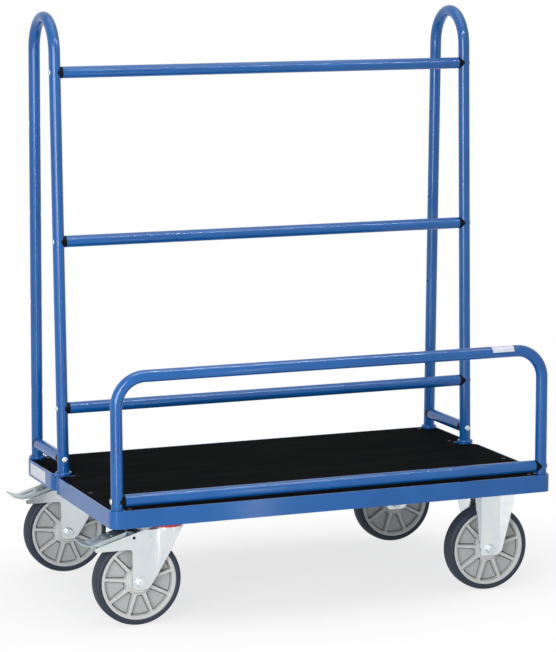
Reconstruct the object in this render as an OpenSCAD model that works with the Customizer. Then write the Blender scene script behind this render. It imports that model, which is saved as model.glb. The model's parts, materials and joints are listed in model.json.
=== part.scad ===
// Platform truck for panels: a low platform on four wheels, two hairpin uprights
// with crossbars that the panels lean on, and a low hoop along the front edge.
// X runs along the platform, Y from the hoop to the uprights, Z up from the floor.
// Millimetres. Places in the modules are measured from the frame's front left corner.

/* [Platform] */
// Outer length of the platform frame
frame_l = 1070; // [900:10:1300]
// Outer width of the platform frame
frame_w = 650; // [600:10:800]
// Height of the frame's upright band
frame_h = 40; // [38:1:50]
// Thickness of the frame's band and shelf
band_t = 3; // [2.5:0.5:3.5]
// Outside radius of the frame's corners
corner_r = 19; // [19:1:24]
// How far the shelf under the deck board reaches in from the band
shelf_w = 27; // [24:1:32]
// Thickness of the deck board
board_t = 12; // [9:1:15]
// Gap around the deck board
board_gap = 0.5; // [0.3:0.1:1.5]
// How far the frame hangs below the caster plates
frame_drop = 7; // [6:0.5:9]

/* [Tubes] */
// Outside diameter of every tube
tube_d = 27; // [25:0.5:28]
// Wall of every tube
tube_wall = 2; // [1.5:0.25:2.5]
// Clearance between a tube and the sleeve that it plugs into
sleeve_fit = 0.2; // [0.1:0.05:0.5]
// Wall of the sleeves
sleeve_wall = 2.2; // [1.8:0.1:2.4]
// How far the leg sleeves show below the frame
sleeve_drop = 4; // [2:0.5:6]
// Height of the foot collars
collar_h = 8; // [5:0.5:12]
// Outside diameter of the foot collars
collar_d = 38; // [34:0.5:39]

/* [Uprights] */
// Height of the truck above the floor
total_h = 1334; // [1250:1:1450]
// Distance of the uprights from the ends of the frame
upright_inset = 21; // [20:1:40]
// Distance of the back legs from the rear edge of the frame
back_leg_inset = 20; // [20:1:40]
// Distance between the feet of one upright
leg_spread = 210; // [190:5:240]
// Bend radius at the top of an upright
top_bend_r = 80; // [70:1:85]
// Height of the bottom crossbar
bar_z = 426; // [390:1:450]
// Distance between the crossbars
bar_pitch = 386; // [340:1:390]
// Height of the struts between the legs of an upright
strut_z = 308; // [306:1:330]
// Distance between a bar's end and the tube that it is bolted to
bar_gap = 5; // [3:0.5:8]
// Depth of the dimples pressed into the tubes at the bolts
dimple_depth = 2.2; // [1:0.2:2.6]

/* [Hoop] */
// Height of the hoop's centre line
hoop_z = 562; // [450:1:600]
// Bend radius of the hoop
hoop_bend_r = 66; // [50:1:110]
// Height of the base bar's centre line
base_bar_z = 289; // [286:1:320]

/* [Wheels] */
// Wheel diameter
wheel_d = 200; // [180:1:200]
// Width of the tyre
tyre_w = 40; // [36:1:42]
// Radius of the rim inside the tyre
rim_r = 86.5; // [80:0.5:88]
// Number of spokes
spokes = 9; // [6:1:12]
// Thickness of a spoke
spoke_t = 8.5; // [5:0.5:9]
// Depth of the pockets between the spokes
pocket_depth = 9; // [5:0.5:12]
// Diameter of the rim's bearing seat
bearing_d = 30; // [28:0.5:36]
// Diameter of the axle sleeve
axle_sleeve_d = 20; // [18:0.5:20]
// Diameter of the axle bolt
axle_d = 12; // [10:0.5:12]

/* [Casters] */
// Height of a caster from the floor to the top of its plate
caster_h = 237; // [236:1:240]
// Length of a caster plate along the platform
plate_l = 135; // [130:1:140]
// Width of a caster plate across the platform
plate_w = 110; // [104:1:110]
// Thickness of a caster plate
plate_t = 4; // [3:0.5:5]
// Distance between the plate's bolt holes along the platform
hole_x = 105; // [100:1:108]
// Distance between the plate's bolt holes across the platform
hole_y = 80; // [76:1:82]
// Diameter of the plate's bolt holes
hole_d = 11; // [10.6:0.1:11.5]
// Distance of the caster centres from the frame's long edges
caster_y = 59; // [59:1:80]
// Distance of the swivel axes from the left end
swivel_x = 145; // [140:1:200]
// Distance of the fixed wheels from the right end
fixed_inset = 141; // [100:1:200]
// Distance from the swivel axis back to the axle
trail = 70; // [66:1:72]
// Inner width of the forks
fork_gap = 55; // [52:1:58]
// Thickness of the fork plates
fork_t = 3; // [2.5:0.5:3.5]
// Radius of the swivel head
head_r = 38; // [36:1:40]
// Diameter of the kingpin
kingpin_d = 16; // [14:0.5:18]
// Radial clearance of a pin or shaft that turns
running_fit = 0.05; // [0.02:0.01:0.09]

/* [Brakes] */
// Width of the pedal's tread between the fork arms
tread_w = 50; // [44:1:50]
// Width of the pedal's toe
toe_w = 62; // [50:1:66]
// Reach of the toe from the swivel axis
toe_reach = 204; // [196:1:210]
// Thickness of the pedal's sheet
pedal_t = 3; // [2:0.5:3.5]
// Gap between the pressed brake shoe and the tyre
shoe_gap = 0.4; // [0.3:0.1:1]
// Angle through which the shoe lifts when the pedal is up
shoe_lift = 3.8; // [3:0.1:4.2]

/* [Hidden] */
$fn = 64;

// Heights
frame_low = caster_h - frame_drop;
deck_z = frame_low + frame_h;
shelf_top = deck_z - board_t;
shelf_low = shelf_top - band_t;

// Tubes and sleeves
tube_r = tube_d / 2;
bore_r = tube_r - tube_wall;
sleeve_r = tube_r + sleeve_fit + sleeve_wall;
weld_gap = 0.1;
spigot_low = frame_low + 2;
bend_z = deck_z + collar_h / 2;

// Places in the plan
hoop_inset = corner_r - (corner_r - band_t - sleeve_r - weld_gap) / sqrt(2);
back_y = frame_w - back_leg_inset;
front_y = back_y - leg_spread;
middle_y = back_y - leg_spread / 2;
notch_half = sleeve_r + weld_gap;
notch_l = upright_inset + sleeve_r + 8;
front_frame_w = front_y - notch_half;
rear_frame_w = frame_w - front_y - notch_half;
toe_out = toe_reach - swivel_x;
frame_left = -(frame_l - toe_out) / 2;

// Hairpin: each leg leans by the angle that makes it a tangent of the top bend
top_z = total_h - tube_r - top_bend_r;
leg_hyp = norm([leg_spread / 2, top_z - bend_z]);
lean = acos(top_bend_r / leg_hyp) - atan2(top_z - bend_z, leg_spread / 2);
leg_l = sqrt(pow(leg_hyp, 2) - pow(top_bend_r, 2));
spare_z = [1069, 858, 646, 434];
bar_heights = [bar_z, bar_z + bar_pitch, bar_z + 2 * bar_pitch];

// Casters
wheel_r = wheel_d / 2;
plate_low = caster_h - plate_t;
fixed_x = frame_l - fixed_inset;
web_t = 3;
press_angle = 11;
member_w = plate_l + 5;
plate_r = fork_gap / 2;
arm_out = plate_r + fork_t;
crown_low = caster_h - 23;
crown_top = caster_h - 17;
race_low = crown_top + 6;
cup_top = crown_low - 5;
ball_r = 4;
ball_ring = 27;
small_ball_r = 3;
cup_r = plate_r - 7;
small_ball_ring = cup_r - 4.5;
race_gap = 0.1;

// Side plates of the swivel forks: the leg's edges from the axle, and points of the arm
leg_back = 18.5;
leg_front = 14;
leg_foot = 16;
arm_low = 176;
arm_end = [-175.5, 184];
arm_shoulder = [-85, 211];
fork_elbow = [4, 166];
crown_front = 31;

// Side plates of the fixed brackets: half of the flat part, and the flare beside it
wing_flat = 22.5;
wing_angle = 44;
wing_bend_r = 5;
wing_l = 34;

// Brake
pedal_pin = [-118, 193];
shoe_pin = [-45.5, 204];
pin_r = 3;
cheek_t = 2.5;
tread_slope = 17;
neck_end = -182;
toe_rise = 7;

// Bolt sizes
bolt_r = 4;
dome_r = 6.5;
dome_h = 4;
socket_r = 2.9;
socket_depth = 2;
hex_r = 9.2;
dimple_r = 23;
dimple_seat = dimple_depth - dimple_r + sqrt(pow(dimple_r, 2) - pow(dome_r, 2)) - 0.05;
plate_bolt_r = 5;
axle_hex_r = 10.4;
axle_head_h = 7;
axle_head_dome = 17;
axle_nut_h = 9;
washer_r = 12;
washer_t = 2;
screw_r = 2;
screw_head_r = 5;
screw_gap = 0.2;
screw_inset = 17;
screw_corner = 28;
screw_notch = 26;
screw_side = 210;

front = caster_y;
rear = frame_w - caster_y;

frame_blue = [0.18, 0.38, 0.66];
zinc = [0.8, 0.82, 0.84];
black = [0.07, 0.07, 0.08];

// Helpers

// Points of an arc round the corner p between a and b, radius r
function corner_arc(a, p, b, r, n = 5) =
    let (u = (a - p) / norm(a - p), v = (b - p) / norm(b - p),
         half = acos(min(1, max(-1, u * v))) / 2,
         mid = (u + v) / norm(u + v),
         c = p + mid * r / sin(half),
         s = p + u * r / tan(half) - c,
         e = p + v * r / tan(half) - c,
         a0 = atan2(s[1], s[0]),
         turn = atan2(s[0] * e[1] - s[1] * e[0], s * e))
    [for (i = [0:n]) c + r * [cos(a0 + turn * i / n), sin(a0 + turn * i / n)]];

// Closed outline with rounded corners, each point given as [x, y, radius]
function rounded(pts) =
    let (n = len(pts))
    [for (i = [0:n - 1])
        let (a = pts[(i + n - 1) % n], p = pts[i], b = pts[(i + 1) % n])
        for (q = p[2] > 0 ? corner_arc([a[0], a[1]], [p[0], p[1]], [b[0], b[1]], p[2]) : [[p[0], p[1]]]) q];

module rounded_rect(w, d, r) {
    translate([r, 0]) square([w - 2 * r, d]);
    translate([0, r]) square([w, d - 2 * r]);
    for (x = [r, w - r])
        for (y = [r, d - r])
            translate([x, y]) circle(r);
}

// Puts a piece from the frame's front left corner into the truck's own frame
module placed() {
    translate([frame_left, -frame_w / 2, 0]) children();
}

// A copy at each end of the platform, the second one mirrored
module both_ends() {
    children();
    translate([frame_l, 0, 0]) mirror([1, 0, 0]) children();
}

// Extrudes an outline drawn in X and Z along Y, centred on y = 0
module along_y(t) {
    rotate([90, 0, 0]) linear_extrude(t, center = true) children();
}

// A cylinder along Y, centred on y = 0
module y_cylinder(r, h) {
    rotate([90, 0, 0]) cylinder(r = r, h = h, center = true);
}

// Platform

// One welded section of the rim: a band, with a shelf inside it for the deck board
module frame_section(d, notch_y) {
    inner_r = corner_r - band_t;
    shelf_in = band_t + shelf_w;
    difference() {
        union() {
            translate([0, 0, frame_low]) linear_extrude(frame_h) difference() {
                rounded_rect(frame_l, d, corner_r);
                translate([band_t, band_t]) rounded_rect(frame_l - 2 * band_t, d - 2 * band_t, inner_r);
            }
            translate([0, 0, shelf_low]) linear_extrude(band_t) difference() {
                translate([band_t, band_t]) rounded_rect(frame_l - 2 * band_t, d - 2 * band_t, inner_r);
                translate([shelf_in, shelf_in]) square([frame_l - 2 * shelf_in, d - 2 * shelf_in]);
            }
        }
        translate([notch_l, notch_y, frame_low - 1])
            cube([frame_l - 2 * notch_l, shelf_in + 2, frame_h + 2]);
    }
}

module sleeve_holes(y, x) {
    both_ends()
        translate([x, y, frame_low - 1]) cylinder(r = sleeve_r + weld_gap, h = frame_h + 2);
}

module front_frame() {
    color(frame_blue) placed() difference() {
        frame_section(front_frame_w, front_frame_w - band_t - shelf_w - 1);
        sleeve_holes(hoop_inset, hoop_inset);
        deck_screw_holes();
    }
}

module rear_frame() {
    color(frame_blue) placed() difference() {
        translate([0, frame_w - rear_frame_w, 0]) frame_section(rear_frame_w, -1);
        sleeve_holes(back_y, upright_inset);
        deck_screw_holes();
    }
}

// Tube under the middle of the board, in pieces between the sleeves and the cross members
module middle_rail() {
    rail_w = 30;
    sleeve_end = upright_inset + sleeve_r;
    left_face = swivel_x - member_w / 2;
    right_face = fixed_x + member_w / 2;
    spans = [[sleeve_end, left_face], [left_face + member_w, right_face - member_w],
        [right_face, frame_l - sleeve_end]];
    color(frame_blue) placed() for (s = spans)
        translate([s[0] + weld_gap, front_y, 0]) rotate([90, 0, 90])
            linear_extrude(s[1] - s[0] - 2 * weld_gap) difference() {
                translate([-rail_w / 2, frame_low]) square([rail_w, shelf_top - frame_low]);
                translate([-rail_w / 2 + 2, frame_low + 2]) square([rail_w - 4, shelf_top - frame_low - 4]);
            }
}

// Channel across the frame, with the bolt holes of a front and a rear caster
module cross_member(x) {
    difference() {
        translate([x, band_t + weld_gap, 0]) rotate([90, 0, 0]) mirror([0, 0, 1])
            linear_extrude(frame_w - 2 * band_t - 2 * weld_gap) difference() {
                translate([-member_w / 2, caster_h]) square([member_w, shelf_low - caster_h]);
                translate([-member_w / 2 + web_t, caster_h + web_t])
                    square([member_w - 2 * web_t, shelf_low - caster_h]);
            }
        for (y = [front, rear])
            plate_holes(x, y) cylinder(r = hole_d / 2, h = web_t + 2, center = true);
    }
}

// What is given, at each bolt hole of the caster plate centred on x and y
module plate_holes(x, y) {
    for (dx = [-1, 1])
        for (dy = [-1, 1])
            translate([x + dx * hole_x / 2, y + dy * hole_y / 2, caster_h + web_t / 2]) children();
}

module left_cross_member() { color(frame_blue) placed() cross_member(swivel_x); }
module right_cross_member() { color(frame_blue) placed() cross_member(fixed_x); }

module sleeve(x, y, drop, top) {
    translate([x, y, frame_low - drop]) difference() {
        cylinder(r = sleeve_r, h = top - frame_low + drop);
        translate([0, 0, -1]) cylinder(r = tube_r + sleeve_fit, h = top - frame_low + drop + 2);
    }
}

module tube_sleeves() {
    color(frame_blue) placed() both_ends() {
        sleeve(hoop_inset, hoop_inset, 0, deck_z);
        sleeve(upright_inset, front_y, sleeve_drop, deck_z);
        sleeve(upright_inset, back_y, sleeve_drop, deck_z);
    }
}

// One board, notched where the front legs pass between the frame sections
module deck_board() {
    edge = band_t + board_gap;
    r = corner_r - edge;
    post_hole_r = sleeve_r + board_gap;
    collar_hole_r = collar_d / 2 + board_gap;
    color(black) placed() difference() {
        translate([0, 0, shelf_top]) linear_extrude(board_t) {
            translate([edge, edge]) rounded_rect(frame_l - 2 * edge, front_frame_w - 2 * edge, r);
            translate([edge, frame_w - rear_frame_w + edge])
                rounded_rect(frame_l - 2 * edge, rear_frame_w - 2 * edge, r);
            translate([notch_l + board_gap, front_frame_w - 2 * r])
                square([frame_l - 2 * (notch_l + board_gap), 2 * notch_half + 4 * r]);
        }
        both_ends() for (p = [[hoop_inset, hoop_inset, post_hole_r], [upright_inset, back_y, collar_hole_r]])
            translate([p[0], p[1], shelf_top - 1]) cylinder(r = p[2], h = board_t + 2);
        deck_screw_holes();
        deck_screw_places() translate([0, 0, -2.9])
            cylinder(r1 = screw_r + screw_gap, r2 = screw_head_r + screw_gap, h = 3);
    }
}

module deck_screw_places() {
    inset = band_t + screw_inset;
    both_ends() for (p = [[inset + screw_corner, inset], [inset, screw_side],
            [inset + screw_notch, frame_w - rear_frame_w + inset], [inset + screw_corner, frame_w - inset]])
        translate([p[0], p[1], deck_z]) children();
}

module deck_screw_holes() {
    deck_screw_places() translate([0, 0, -board_t - band_t - 1])
        cylinder(r = screw_r + screw_gap, h = board_t + band_t + 2);
}

module deck_screws() {
    color(zinc) placed() deck_screw_places() {
        translate([0, 0, -board_t - band_t]) cylinder(r = screw_r, h = board_t + band_t - 0.5);
        translate([0, 0, -3]) cylinder(r1 = screw_r, r2 = screw_head_r, h = 3);
    }
}

// Uprights

// Distance of a leg's axis from the middle of its upright at height z
function leg_out(z) = leg_spread / 2 - (z - bend_z) * tan(lean);

// Y of a leg's axis at height z; side -1 is the front leg
function leg_y(side, z) = middle_y + side * leg_out(z);

// Half of a hairpin: straight leg and quarter bend; its foot bend is a short neck in the collar
module hairpin_half(r, neck_r, end) {
    neck = 1;
    translate([0, 0, top_z]) rotate([90, 0, 90]) rotate([0, 0, lean])
        translate([top_bend_r, 0, 0]) rotate([90, 0, 0]) cylinder(r = r, h = leg_l - neck);
    intersection() {
        translate([0, 0, top_z]) rotate([90, 0, 90]) rotate([0, 0, lean])
            rotate_extrude(angle = 95 - lean) translate([top_bend_r, 0]) circle(r);
        translate([-tube_d, 0, top_z - tube_d]) cube([2 * tube_d, 2 * top_bend_r, 2 * top_bend_r]);
    }
    translate([0, leg_spread / 2, spigot_low - end]) cylinder(r = r, h = bend_z - neck - spigot_low + end);
    translate([0, leg_spread / 2, bend_z - 2 * neck]) cylinder(r = neck_r, h = 4 * neck);
}

// Where the crossbars or spare holes go through a leg, as heights
function leg_holes(side) = side < 0 ? bar_heights : spare_z;

// Cutters of the dimples: on the outside at the crossbars, on both sides at the spare holes
module dimples(side, grow) {
    for (z = leg_holes(side))
        for (s = side < 0 ? [-1] : [-1, 1])
            translate([s * (tube_r - dimple_depth + dimple_r), leg_out(z), z])
                y_cylinder(dimple_r + grow, tube_d + 4);
}

// Hollow half of an upright, with its dimples and bolt holes
module upright_half(side) {
    difference() {
        hairpin_half(tube_r, tube_r - 0.3, 0);
        dimples(side, 0);
        difference() {
            hairpin_half(bore_r, bore_r - 0.3, 1);
            dimples(side, tube_wall);
        }
        for (z = leg_holes(side))
            translate([-tube_d, leg_out(z), z]) rotate([0, 90, 0]) cylinder(r = bolt_r + 0.1, h = 2 * tube_d);
        translate([0, leg_out(strut_z), strut_z]) y_cylinder(bolt_r + 0.1, 2 * tube_d);
    }
}

module upright() {
    translate([upright_inset, middle_y, 0]) {
        upright_half(1);
        mirror([0, 1, 0]) upright_half(-1);
    }
}

module left_upright() { color(frame_blue) placed() upright(); }
module right_upright() { color(frame_blue) placed() translate([frame_l, 0, 0]) mirror([1, 0, 0]) upright(); }

module foot_collars() {
    color(frame_blue) placed() both_ends() for (y = [front_y, back_y])
        translate([upright_inset, y, deck_z]) rotate_extrude() polygon(rounded([
            [tube_r + sleeve_fit, 0, 0], [collar_d / 2, 0, 0], [collar_d / 2, collar_h, 2.5],
            [tube_r + sleeve_fit, collar_h, 0]]));
}

// Straight tube along X between a and b
module x_tube(a, b) {
    translate([a, 0, 0]) rotate([0, 90, 0]) difference() {
        cylinder(r = tube_r, h = b - a);
        translate([0, 0, -1]) cylinder(r = bore_r, h = b - a + 2);
    }
}

// Saddle at the left end of a bar whose axis is y = 0, z = 0; the children cut its mouth
module saddle(tube_x) {
    bar_start = tube_x + tube_r + bar_gap;
    plug_l = 18;
    difference() {
        union() {
            translate([tube_x, 0, 0]) rotate([0, 90, 0]) cylinder(r = tube_r - 0.2, h = tube_r + bar_gap);
            translate([bar_start, 0, 0]) rotate([0, 90, 0]) cylinder(r = bore_r - 0.05, h = plug_l);
        }
        children();
        translate([tube_x - 1, 0, 0]) rotate([0, 90, 0])
            cylinder(r = bolt_r + 0.05, h = tube_d + plug_l + bar_gap);
    }
}

// Dome-headed socket bolt along X, with its head's seat at x = 0 and its shank towards +X
module dome_bolt(l) {
    rotate([0, 90, 0]) cylinder(r = bolt_r, h = l);
    rotate([0, -90, 0]) difference() {
        intersection() {
            cylinder(r = dome_r, h = dome_h);
            translate([0, 0, dome_h - 9]) sphere(9);
        }
        translate([0, 0, dome_h - socket_depth]) cylinder(r = socket_r, h = socket_depth, $fn = 6);
    }
}

module crossbar(z) {
    translate([0, leg_y(-1, z), z])
        x_tube(upright_inset + tube_r + bar_gap, frame_l - upright_inset - tube_r - bar_gap);
}

module top_crossbar() { color(frame_blue) placed() crossbar(bar_heights[2]); }
module middle_crossbar() { color(frame_blue) placed() crossbar(bar_heights[1]); }
module bottom_crossbar() { color(frame_blue) placed() crossbar(bar_heights[0]); }

module crossbar_saddles() {
    color(black) placed() both_ends() for (z = bar_heights)
        translate([0, leg_y(-1, z), z]) saddle(upright_inset)
            translate([upright_inset, 0, 0]) rotate([-lean, 0, 0])
                cylinder(r = tube_r + 0.02, h = 80, center = true);
}

module crossbar_bolts() {
    color(zinc) placed() both_ends() for (z = bar_heights)
        translate([upright_inset - tube_r + dimple_seat, leg_y(-1, z), z])
            dome_bolt(tube_d + bar_gap + 12);
}

// Strut between the legs of one upright
module strut() {
    a = leg_y(-1, strut_z) + tube_r + bar_gap;
    b = leg_y(1, strut_z) - tube_r - bar_gap;
    translate([upright_inset, 0, strut_z]) rotate([0, 0, 90]) x_tube(a, b);
}

module left_strut() { color(frame_blue) placed() strut(); }
module right_strut() { color(frame_blue) placed() translate([frame_l, 0, 0]) mirror([1, 0, 0]) strut(); }

// What is given along X, laid along Y at each end of a strut
module at_strut_ends() {
    both_ends() for (s = [-1, 1])
        translate([upright_inset, leg_y(s, strut_z), strut_z]) rotate([0, 0, -s * 90]) children();
}

module strut_saddles() {
    color(black) placed() at_strut_ends() saddle(0)
        rotate([0, lean, 0]) cylinder(r = tube_r + 0.02, h = 80, center = true);
}

module strut_bolts() {
    color(zinc) placed() at_strut_ends()
        translate([-tube_r - dome_r * tan(lean), 0, 0]) dome_bolt(tube_d + bar_gap + 12);
}

// Hoop

module hoop_core(r, end) {
    for (x = [hoop_inset, frame_l - hoop_inset])
        translate([x, hoop_inset, spigot_low - end])
            cylinder(r = r, h = hoop_z - hoop_bend_r - spigot_low + end);
    translate([hoop_inset + hoop_bend_r, hoop_inset, hoop_z]) rotate([0, 90, 0])
        cylinder(r = r, h = frame_l - 2 * hoop_inset - 2 * hoop_bend_r);
    both_ends() translate([hoop_inset + hoop_bend_r, hoop_inset, hoop_z - hoop_bend_r])
        rotate([90, 0, 0]) rotate([0, 0, 90])
            rotate_extrude(angle = 90) translate([hoop_bend_r, 0]) circle(r);
}

module front_hoop() {
    color(frame_blue) placed() difference() {
        hoop_core(tube_r, 0);
        hoop_core(bore_r, 1);
        both_ends() translate([0, hoop_inset, base_bar_z]) rotate([0, 90, 0])
            cylinder(r = bolt_r + 0.1, h = hoop_inset + tube_d);
    }
}

module base_bar() {
    color(frame_blue) placed() translate([0, hoop_inset, base_bar_z])
        x_tube(hoop_inset + tube_r + bar_gap, frame_l - hoop_inset - tube_r - bar_gap);
}

module base_bar_saddles() {
    color(black) placed() both_ends() translate([0, hoop_inset, base_bar_z]) saddle(hoop_inset)
        translate([hoop_inset, 0, 0]) cylinder(r = tube_r + 0.02, h = 80, center = true);
}

module base_bar_bolts() {
    color(zinc) placed() both_ends() translate([hoop_inset - tube_r, hoop_inset, base_bar_z])
        dome_bolt(tube_d + bar_gap + 12);
}

// Casters: everything below is drawn with the plate's centre at x = 0, y = 0

module at_caster(x, y) {
    placed() translate([x, y, 0]) children();
}

module caster_plate_blank() {
    difference() {
        translate([-plate_l / 2, -plate_w / 2, plate_low]) linear_extrude(plate_t)
            rounded_rect(plate_l, plate_w, 10);
        plate_holes(0, 0) cylinder(r = hole_d / 2, h = 30, center = true);
    }
}

// Plate of a swivel caster with the pressed upper ball race
module swivel_plate() {
    color(zinc) difference() {
        union() {
            caster_plate_blank();
            translate([0, 0, race_low]) cylinder(r = head_r - 5, h = plate_low - race_low);
        }
        translate([0, 0, crown_top + ball_r - 1]) rotate_extrude() translate([ball_ring, 0])
            circle(ball_r + race_gap);
        cylinder(r = kingpin_d / 2, h = caster_h + 1);
        translate([0, 0, plate_low])
            cylinder(r1 = kingpin_d / 2, r2 = kingpin_d / 2 + plate_t, h = plate_t + 0.01);
    }
}

// Countersunk pin that holds the lower race cup, riveted under it
module kingpin() {
    color(zinc) difference() {
        union() {
            translate([0, 0, cup_top - 6])
                cylinder(r = kingpin_d / 2 - running_fit, h = caster_h - cup_top + 6);
            translate([0, 0, plate_low + 0.1])
                cylinder(r1 = kingpin_d / 2 - 0.1, r2 = kingpin_d / 2 + plate_t - 0.2, h = plate_t - 0.1);
            translate([0, 0, cup_top - 5]) cylinder(r = cup_r, h = 5);
            translate([0, 0, cup_top - 9]) cylinder(r1 = 9, r2 = 12, h = 4);
        }
        translate([0, 0, crown_low - small_ball_r + 0.5]) rotate_extrude() translate([small_ball_ring, 0])
            circle(small_ball_r + race_gap);
    }
}

// Upper and lower rings of loose balls
module balls() {
    upper = 16;
    lower = 12;
    color(zinc) {
        for (i = [0:upper - 1])
            rotate([0, 0, 360 * i / upper]) translate([ball_ring, 0, crown_top + ball_r - 1]) sphere(ball_r);
        for (i = [0:lower - 1])
            rotate([0, 0, 360 * i / lower]) translate([small_ball_ring, 0, crown_low - small_ball_r + 0.5])
                sphere(small_ball_r);
    }
}

// Red dust seal that stands on the swivel head
module seal() {
    seal_h = plate_low - crown_top - 0.4;
    color([0.85, 0.1, 0.12]) translate([0, 0, crown_top]) rotate_extrude() polygon(rounded([
        [head_r - 4, 0, 0], [head_r - 0.5, 0, 0], [head_r - 0.5, seal_h, 1], [head_r - 4, seal_h, 1]]));
}

// Side view of a swivel fork: the leg down to the axle, and the arm that guards the pedal
function fork_outline() = rounded([
    [arm_end[0] + 3, arm_low, 3], [-trail - leg_back, arm_low, 8],
    [-trail - leg_back, wheel_r - leg_foot, 13], [-trail + leg_front, wheel_r - leg_foot, 9],
    [-trail + leg_front + 10, wheel_r - leg_foot / 2, 6], [fork_elbow[0], fork_elbow[1], 60],
    [crown_front, crown_low, 0], [crown_front, crown_low + fork_t, 0],
    [-62, crown_low + fork_t, 8], [arm_shoulder[0], arm_shoulder[1], 20], [arm_end[0], arm_end[1], 3]]);

// Plan of a soft bend by the press angle, as [x, how far the plate is turned in], up to a reach past x
function press_plan(x, bend, reach) =
    let (slope = tan(press_angle), steps = 4)
    concat([for (i = [0:steps]) let (d = bend * i / steps) [x + d - bend / 2, slope * d * d / (2 * bend)]],
        [[x + reach, slope * reach]]);

// Two pressed side plates that follow the plan points
module pressed_sides(plan) {
    last = len(plan) - 1;
    for (s = [-1, 1])
        translate([0, 0, wheel_r - 20]) linear_extrude(plate_low - wheel_r + 21)
            polygon(concat([for (p = plan) [p[0], s * (plate_r - p[1])]],
                [for (i = [0:last]) [plan[last - i][0], s * (arm_out - plan[last - i][1])]]));
}

module swivel_fork() {
    color(zinc) difference() {
        union() {
            intersection() {
                pressed_sides(concat([[arm_end[0] - 5, 0]], press_plan(-31, 20, 65)));
                along_y(2 * arm_out + 2) polygon(fork_outline());
            }
            intersection() {
                translate([-66, -plate_r - 1, crown_low]) cube([66 + crown_front, 2 * plate_r + 2, fork_t]);
                union() {
                    translate([0, 0, crown_low - 1]) cylinder(r = head_r, h = 6);
                    translate([-66, -plate_r - 1, crown_low - 1]) cube([66, 2 * plate_r + 2, 6]);
                }
            }
            translate([0, 0, crown_low]) cylinder(r = head_r, h = crown_top - crown_low);
        }
        cylinder(r = kingpin_d / 2, h = caster_h);
        translate([0, 0, crown_top + ball_r - 1]) rotate_extrude() translate([ball_ring, 0])
            circle(ball_r + race_gap);
        translate([0, 0, crown_low - small_ball_r + 0.5]) rotate_extrude() translate([small_ball_ring, 0])
            circle(small_ball_r + race_gap);
        translate([-trail, 0, wheel_r]) y_cylinder(axle_d / 2 + 0.1, 80);
        translate([shoe_pin[0], 0, shoe_pin[1]]) y_cylinder(pin_r + running_fit, 80);
        translate([pedal_pin[0], 0, pedal_pin[1]]) y_cylinder(pin_r + running_fit, fork_gap + fork_t);
        for (s = [-1, 1]) {
            translate([-84.5, s * arm_out, 201.6]) y_cylinder(3.5, 10);
            translate([-3.6, s * (arm_out + 1), 199]) sphere(5);
            translate([shoe_pin[0], s * (arm_out + 3), shoe_pin[1]]) sphere(5);
        }
    }
}

// Axle bolt with washers, nut and the sleeve that the bearing runs on
module axle_set() {
    nut_h = axle_nut_h;
    seat = arm_out + washer_t;
    color(zinc) translate([0, 0, wheel_r]) {
        rotate([90, 0, 0]) translate([0, 0, -seat - nut_h - 3])
            cylinder(r = axle_d / 2, h = 2 * seat + nut_h + 3);
        rotate([90, 0, 0]) translate([0, 0, seat]) intersection() {
            cylinder(r = axle_hex_r, h = axle_head_h, $fn = 6);
            translate([0, 0, axle_head_h + 2 - axle_head_dome]) sphere(axle_head_dome);
        }
        difference() {
            y_cylinder(axle_sleeve_d / 2, fork_gap - 0.1);
            y_cylinder(axle_d / 2 + 0.1, fork_gap + 2);
        }
        for (s = [-1, 1])
            translate([0, s * (arm_out + washer_t / 2 + 0.03), 0]) difference() {
                y_cylinder(washer_r, washer_t - 0.06);
                y_cylinder(axle_d / 2 + 0.1, washer_t + 2);
            }
        rotate([90, 0, 0]) translate([0, 0, -seat - nut_h]) difference() {
            cylinder(r = axle_hex_r, h = nut_h - 0.05, $fn = 6);
            translate([0, 0, -1]) cylinder(r = axle_d / 2 + 0.05, h = nut_h + 2);
        }
    }
}

module brake_pins() {
    color(zinc) {
        translate([shoe_pin[0], 0, shoe_pin[1]]) y_cylinder(pin_r, fork_gap + 2 * fork_t - 2);
        translate([pedal_pin[0], 0, pedal_pin[1]]) y_cylinder(pin_r, fork_gap + fork_t - 0.4);
    }
}

// Pedal: a tread with a slot, two cheeks on the pin, and an upturned toe
function tread_z(x) = 193.5 + (x + 174) * tan(tread_slope);

module pedal() {
    toe_z = tread_z(neck_end) + toe_rise;
    color(zinc) difference() {
        union() {
            along_y(tread_w) polygon([[-100, tread_z(-100)], [neck_end, tread_z(neck_end)],
                [neck_end, tread_z(neck_end) - pedal_t], [-100, tread_z(-100) - pedal_t]]);
            along_y(toe_w) polygon([[neck_end, tread_z(neck_end)], [-toe_reach, toe_z],
                [-toe_reach, toe_z - pedal_t], [neck_end, tread_z(neck_end) - pedal_t]]);
            for (s = [-1, 1])
                translate([0, s * (tread_w - cheek_t) / 2, 0]) along_y(cheek_t) polygon(rounded([
                    [-101, tread_z(-101) - 1, 0], [-172, tread_z(-172) - 1, 0], [-172, tread_z(-172) - 6, 2],
                    [pedal_pin[0] - 5, pedal_pin[1] - 8, 4], [pedal_pin[0] + 8, pedal_pin[1] - 8, 6],
                    [-101, 206, 3]]));
        }
        translate([pedal_pin[0], 0, pedal_pin[1]]) y_cylinder(pin_r + running_fit, 80);
        translate([-176, -5, 180]) cube([30, 10, 40]);
        for (s = [-1, 1])
            translate([-132, s * 12, 190]) cylinder(r = 4, h = 40);
    }
}

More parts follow.
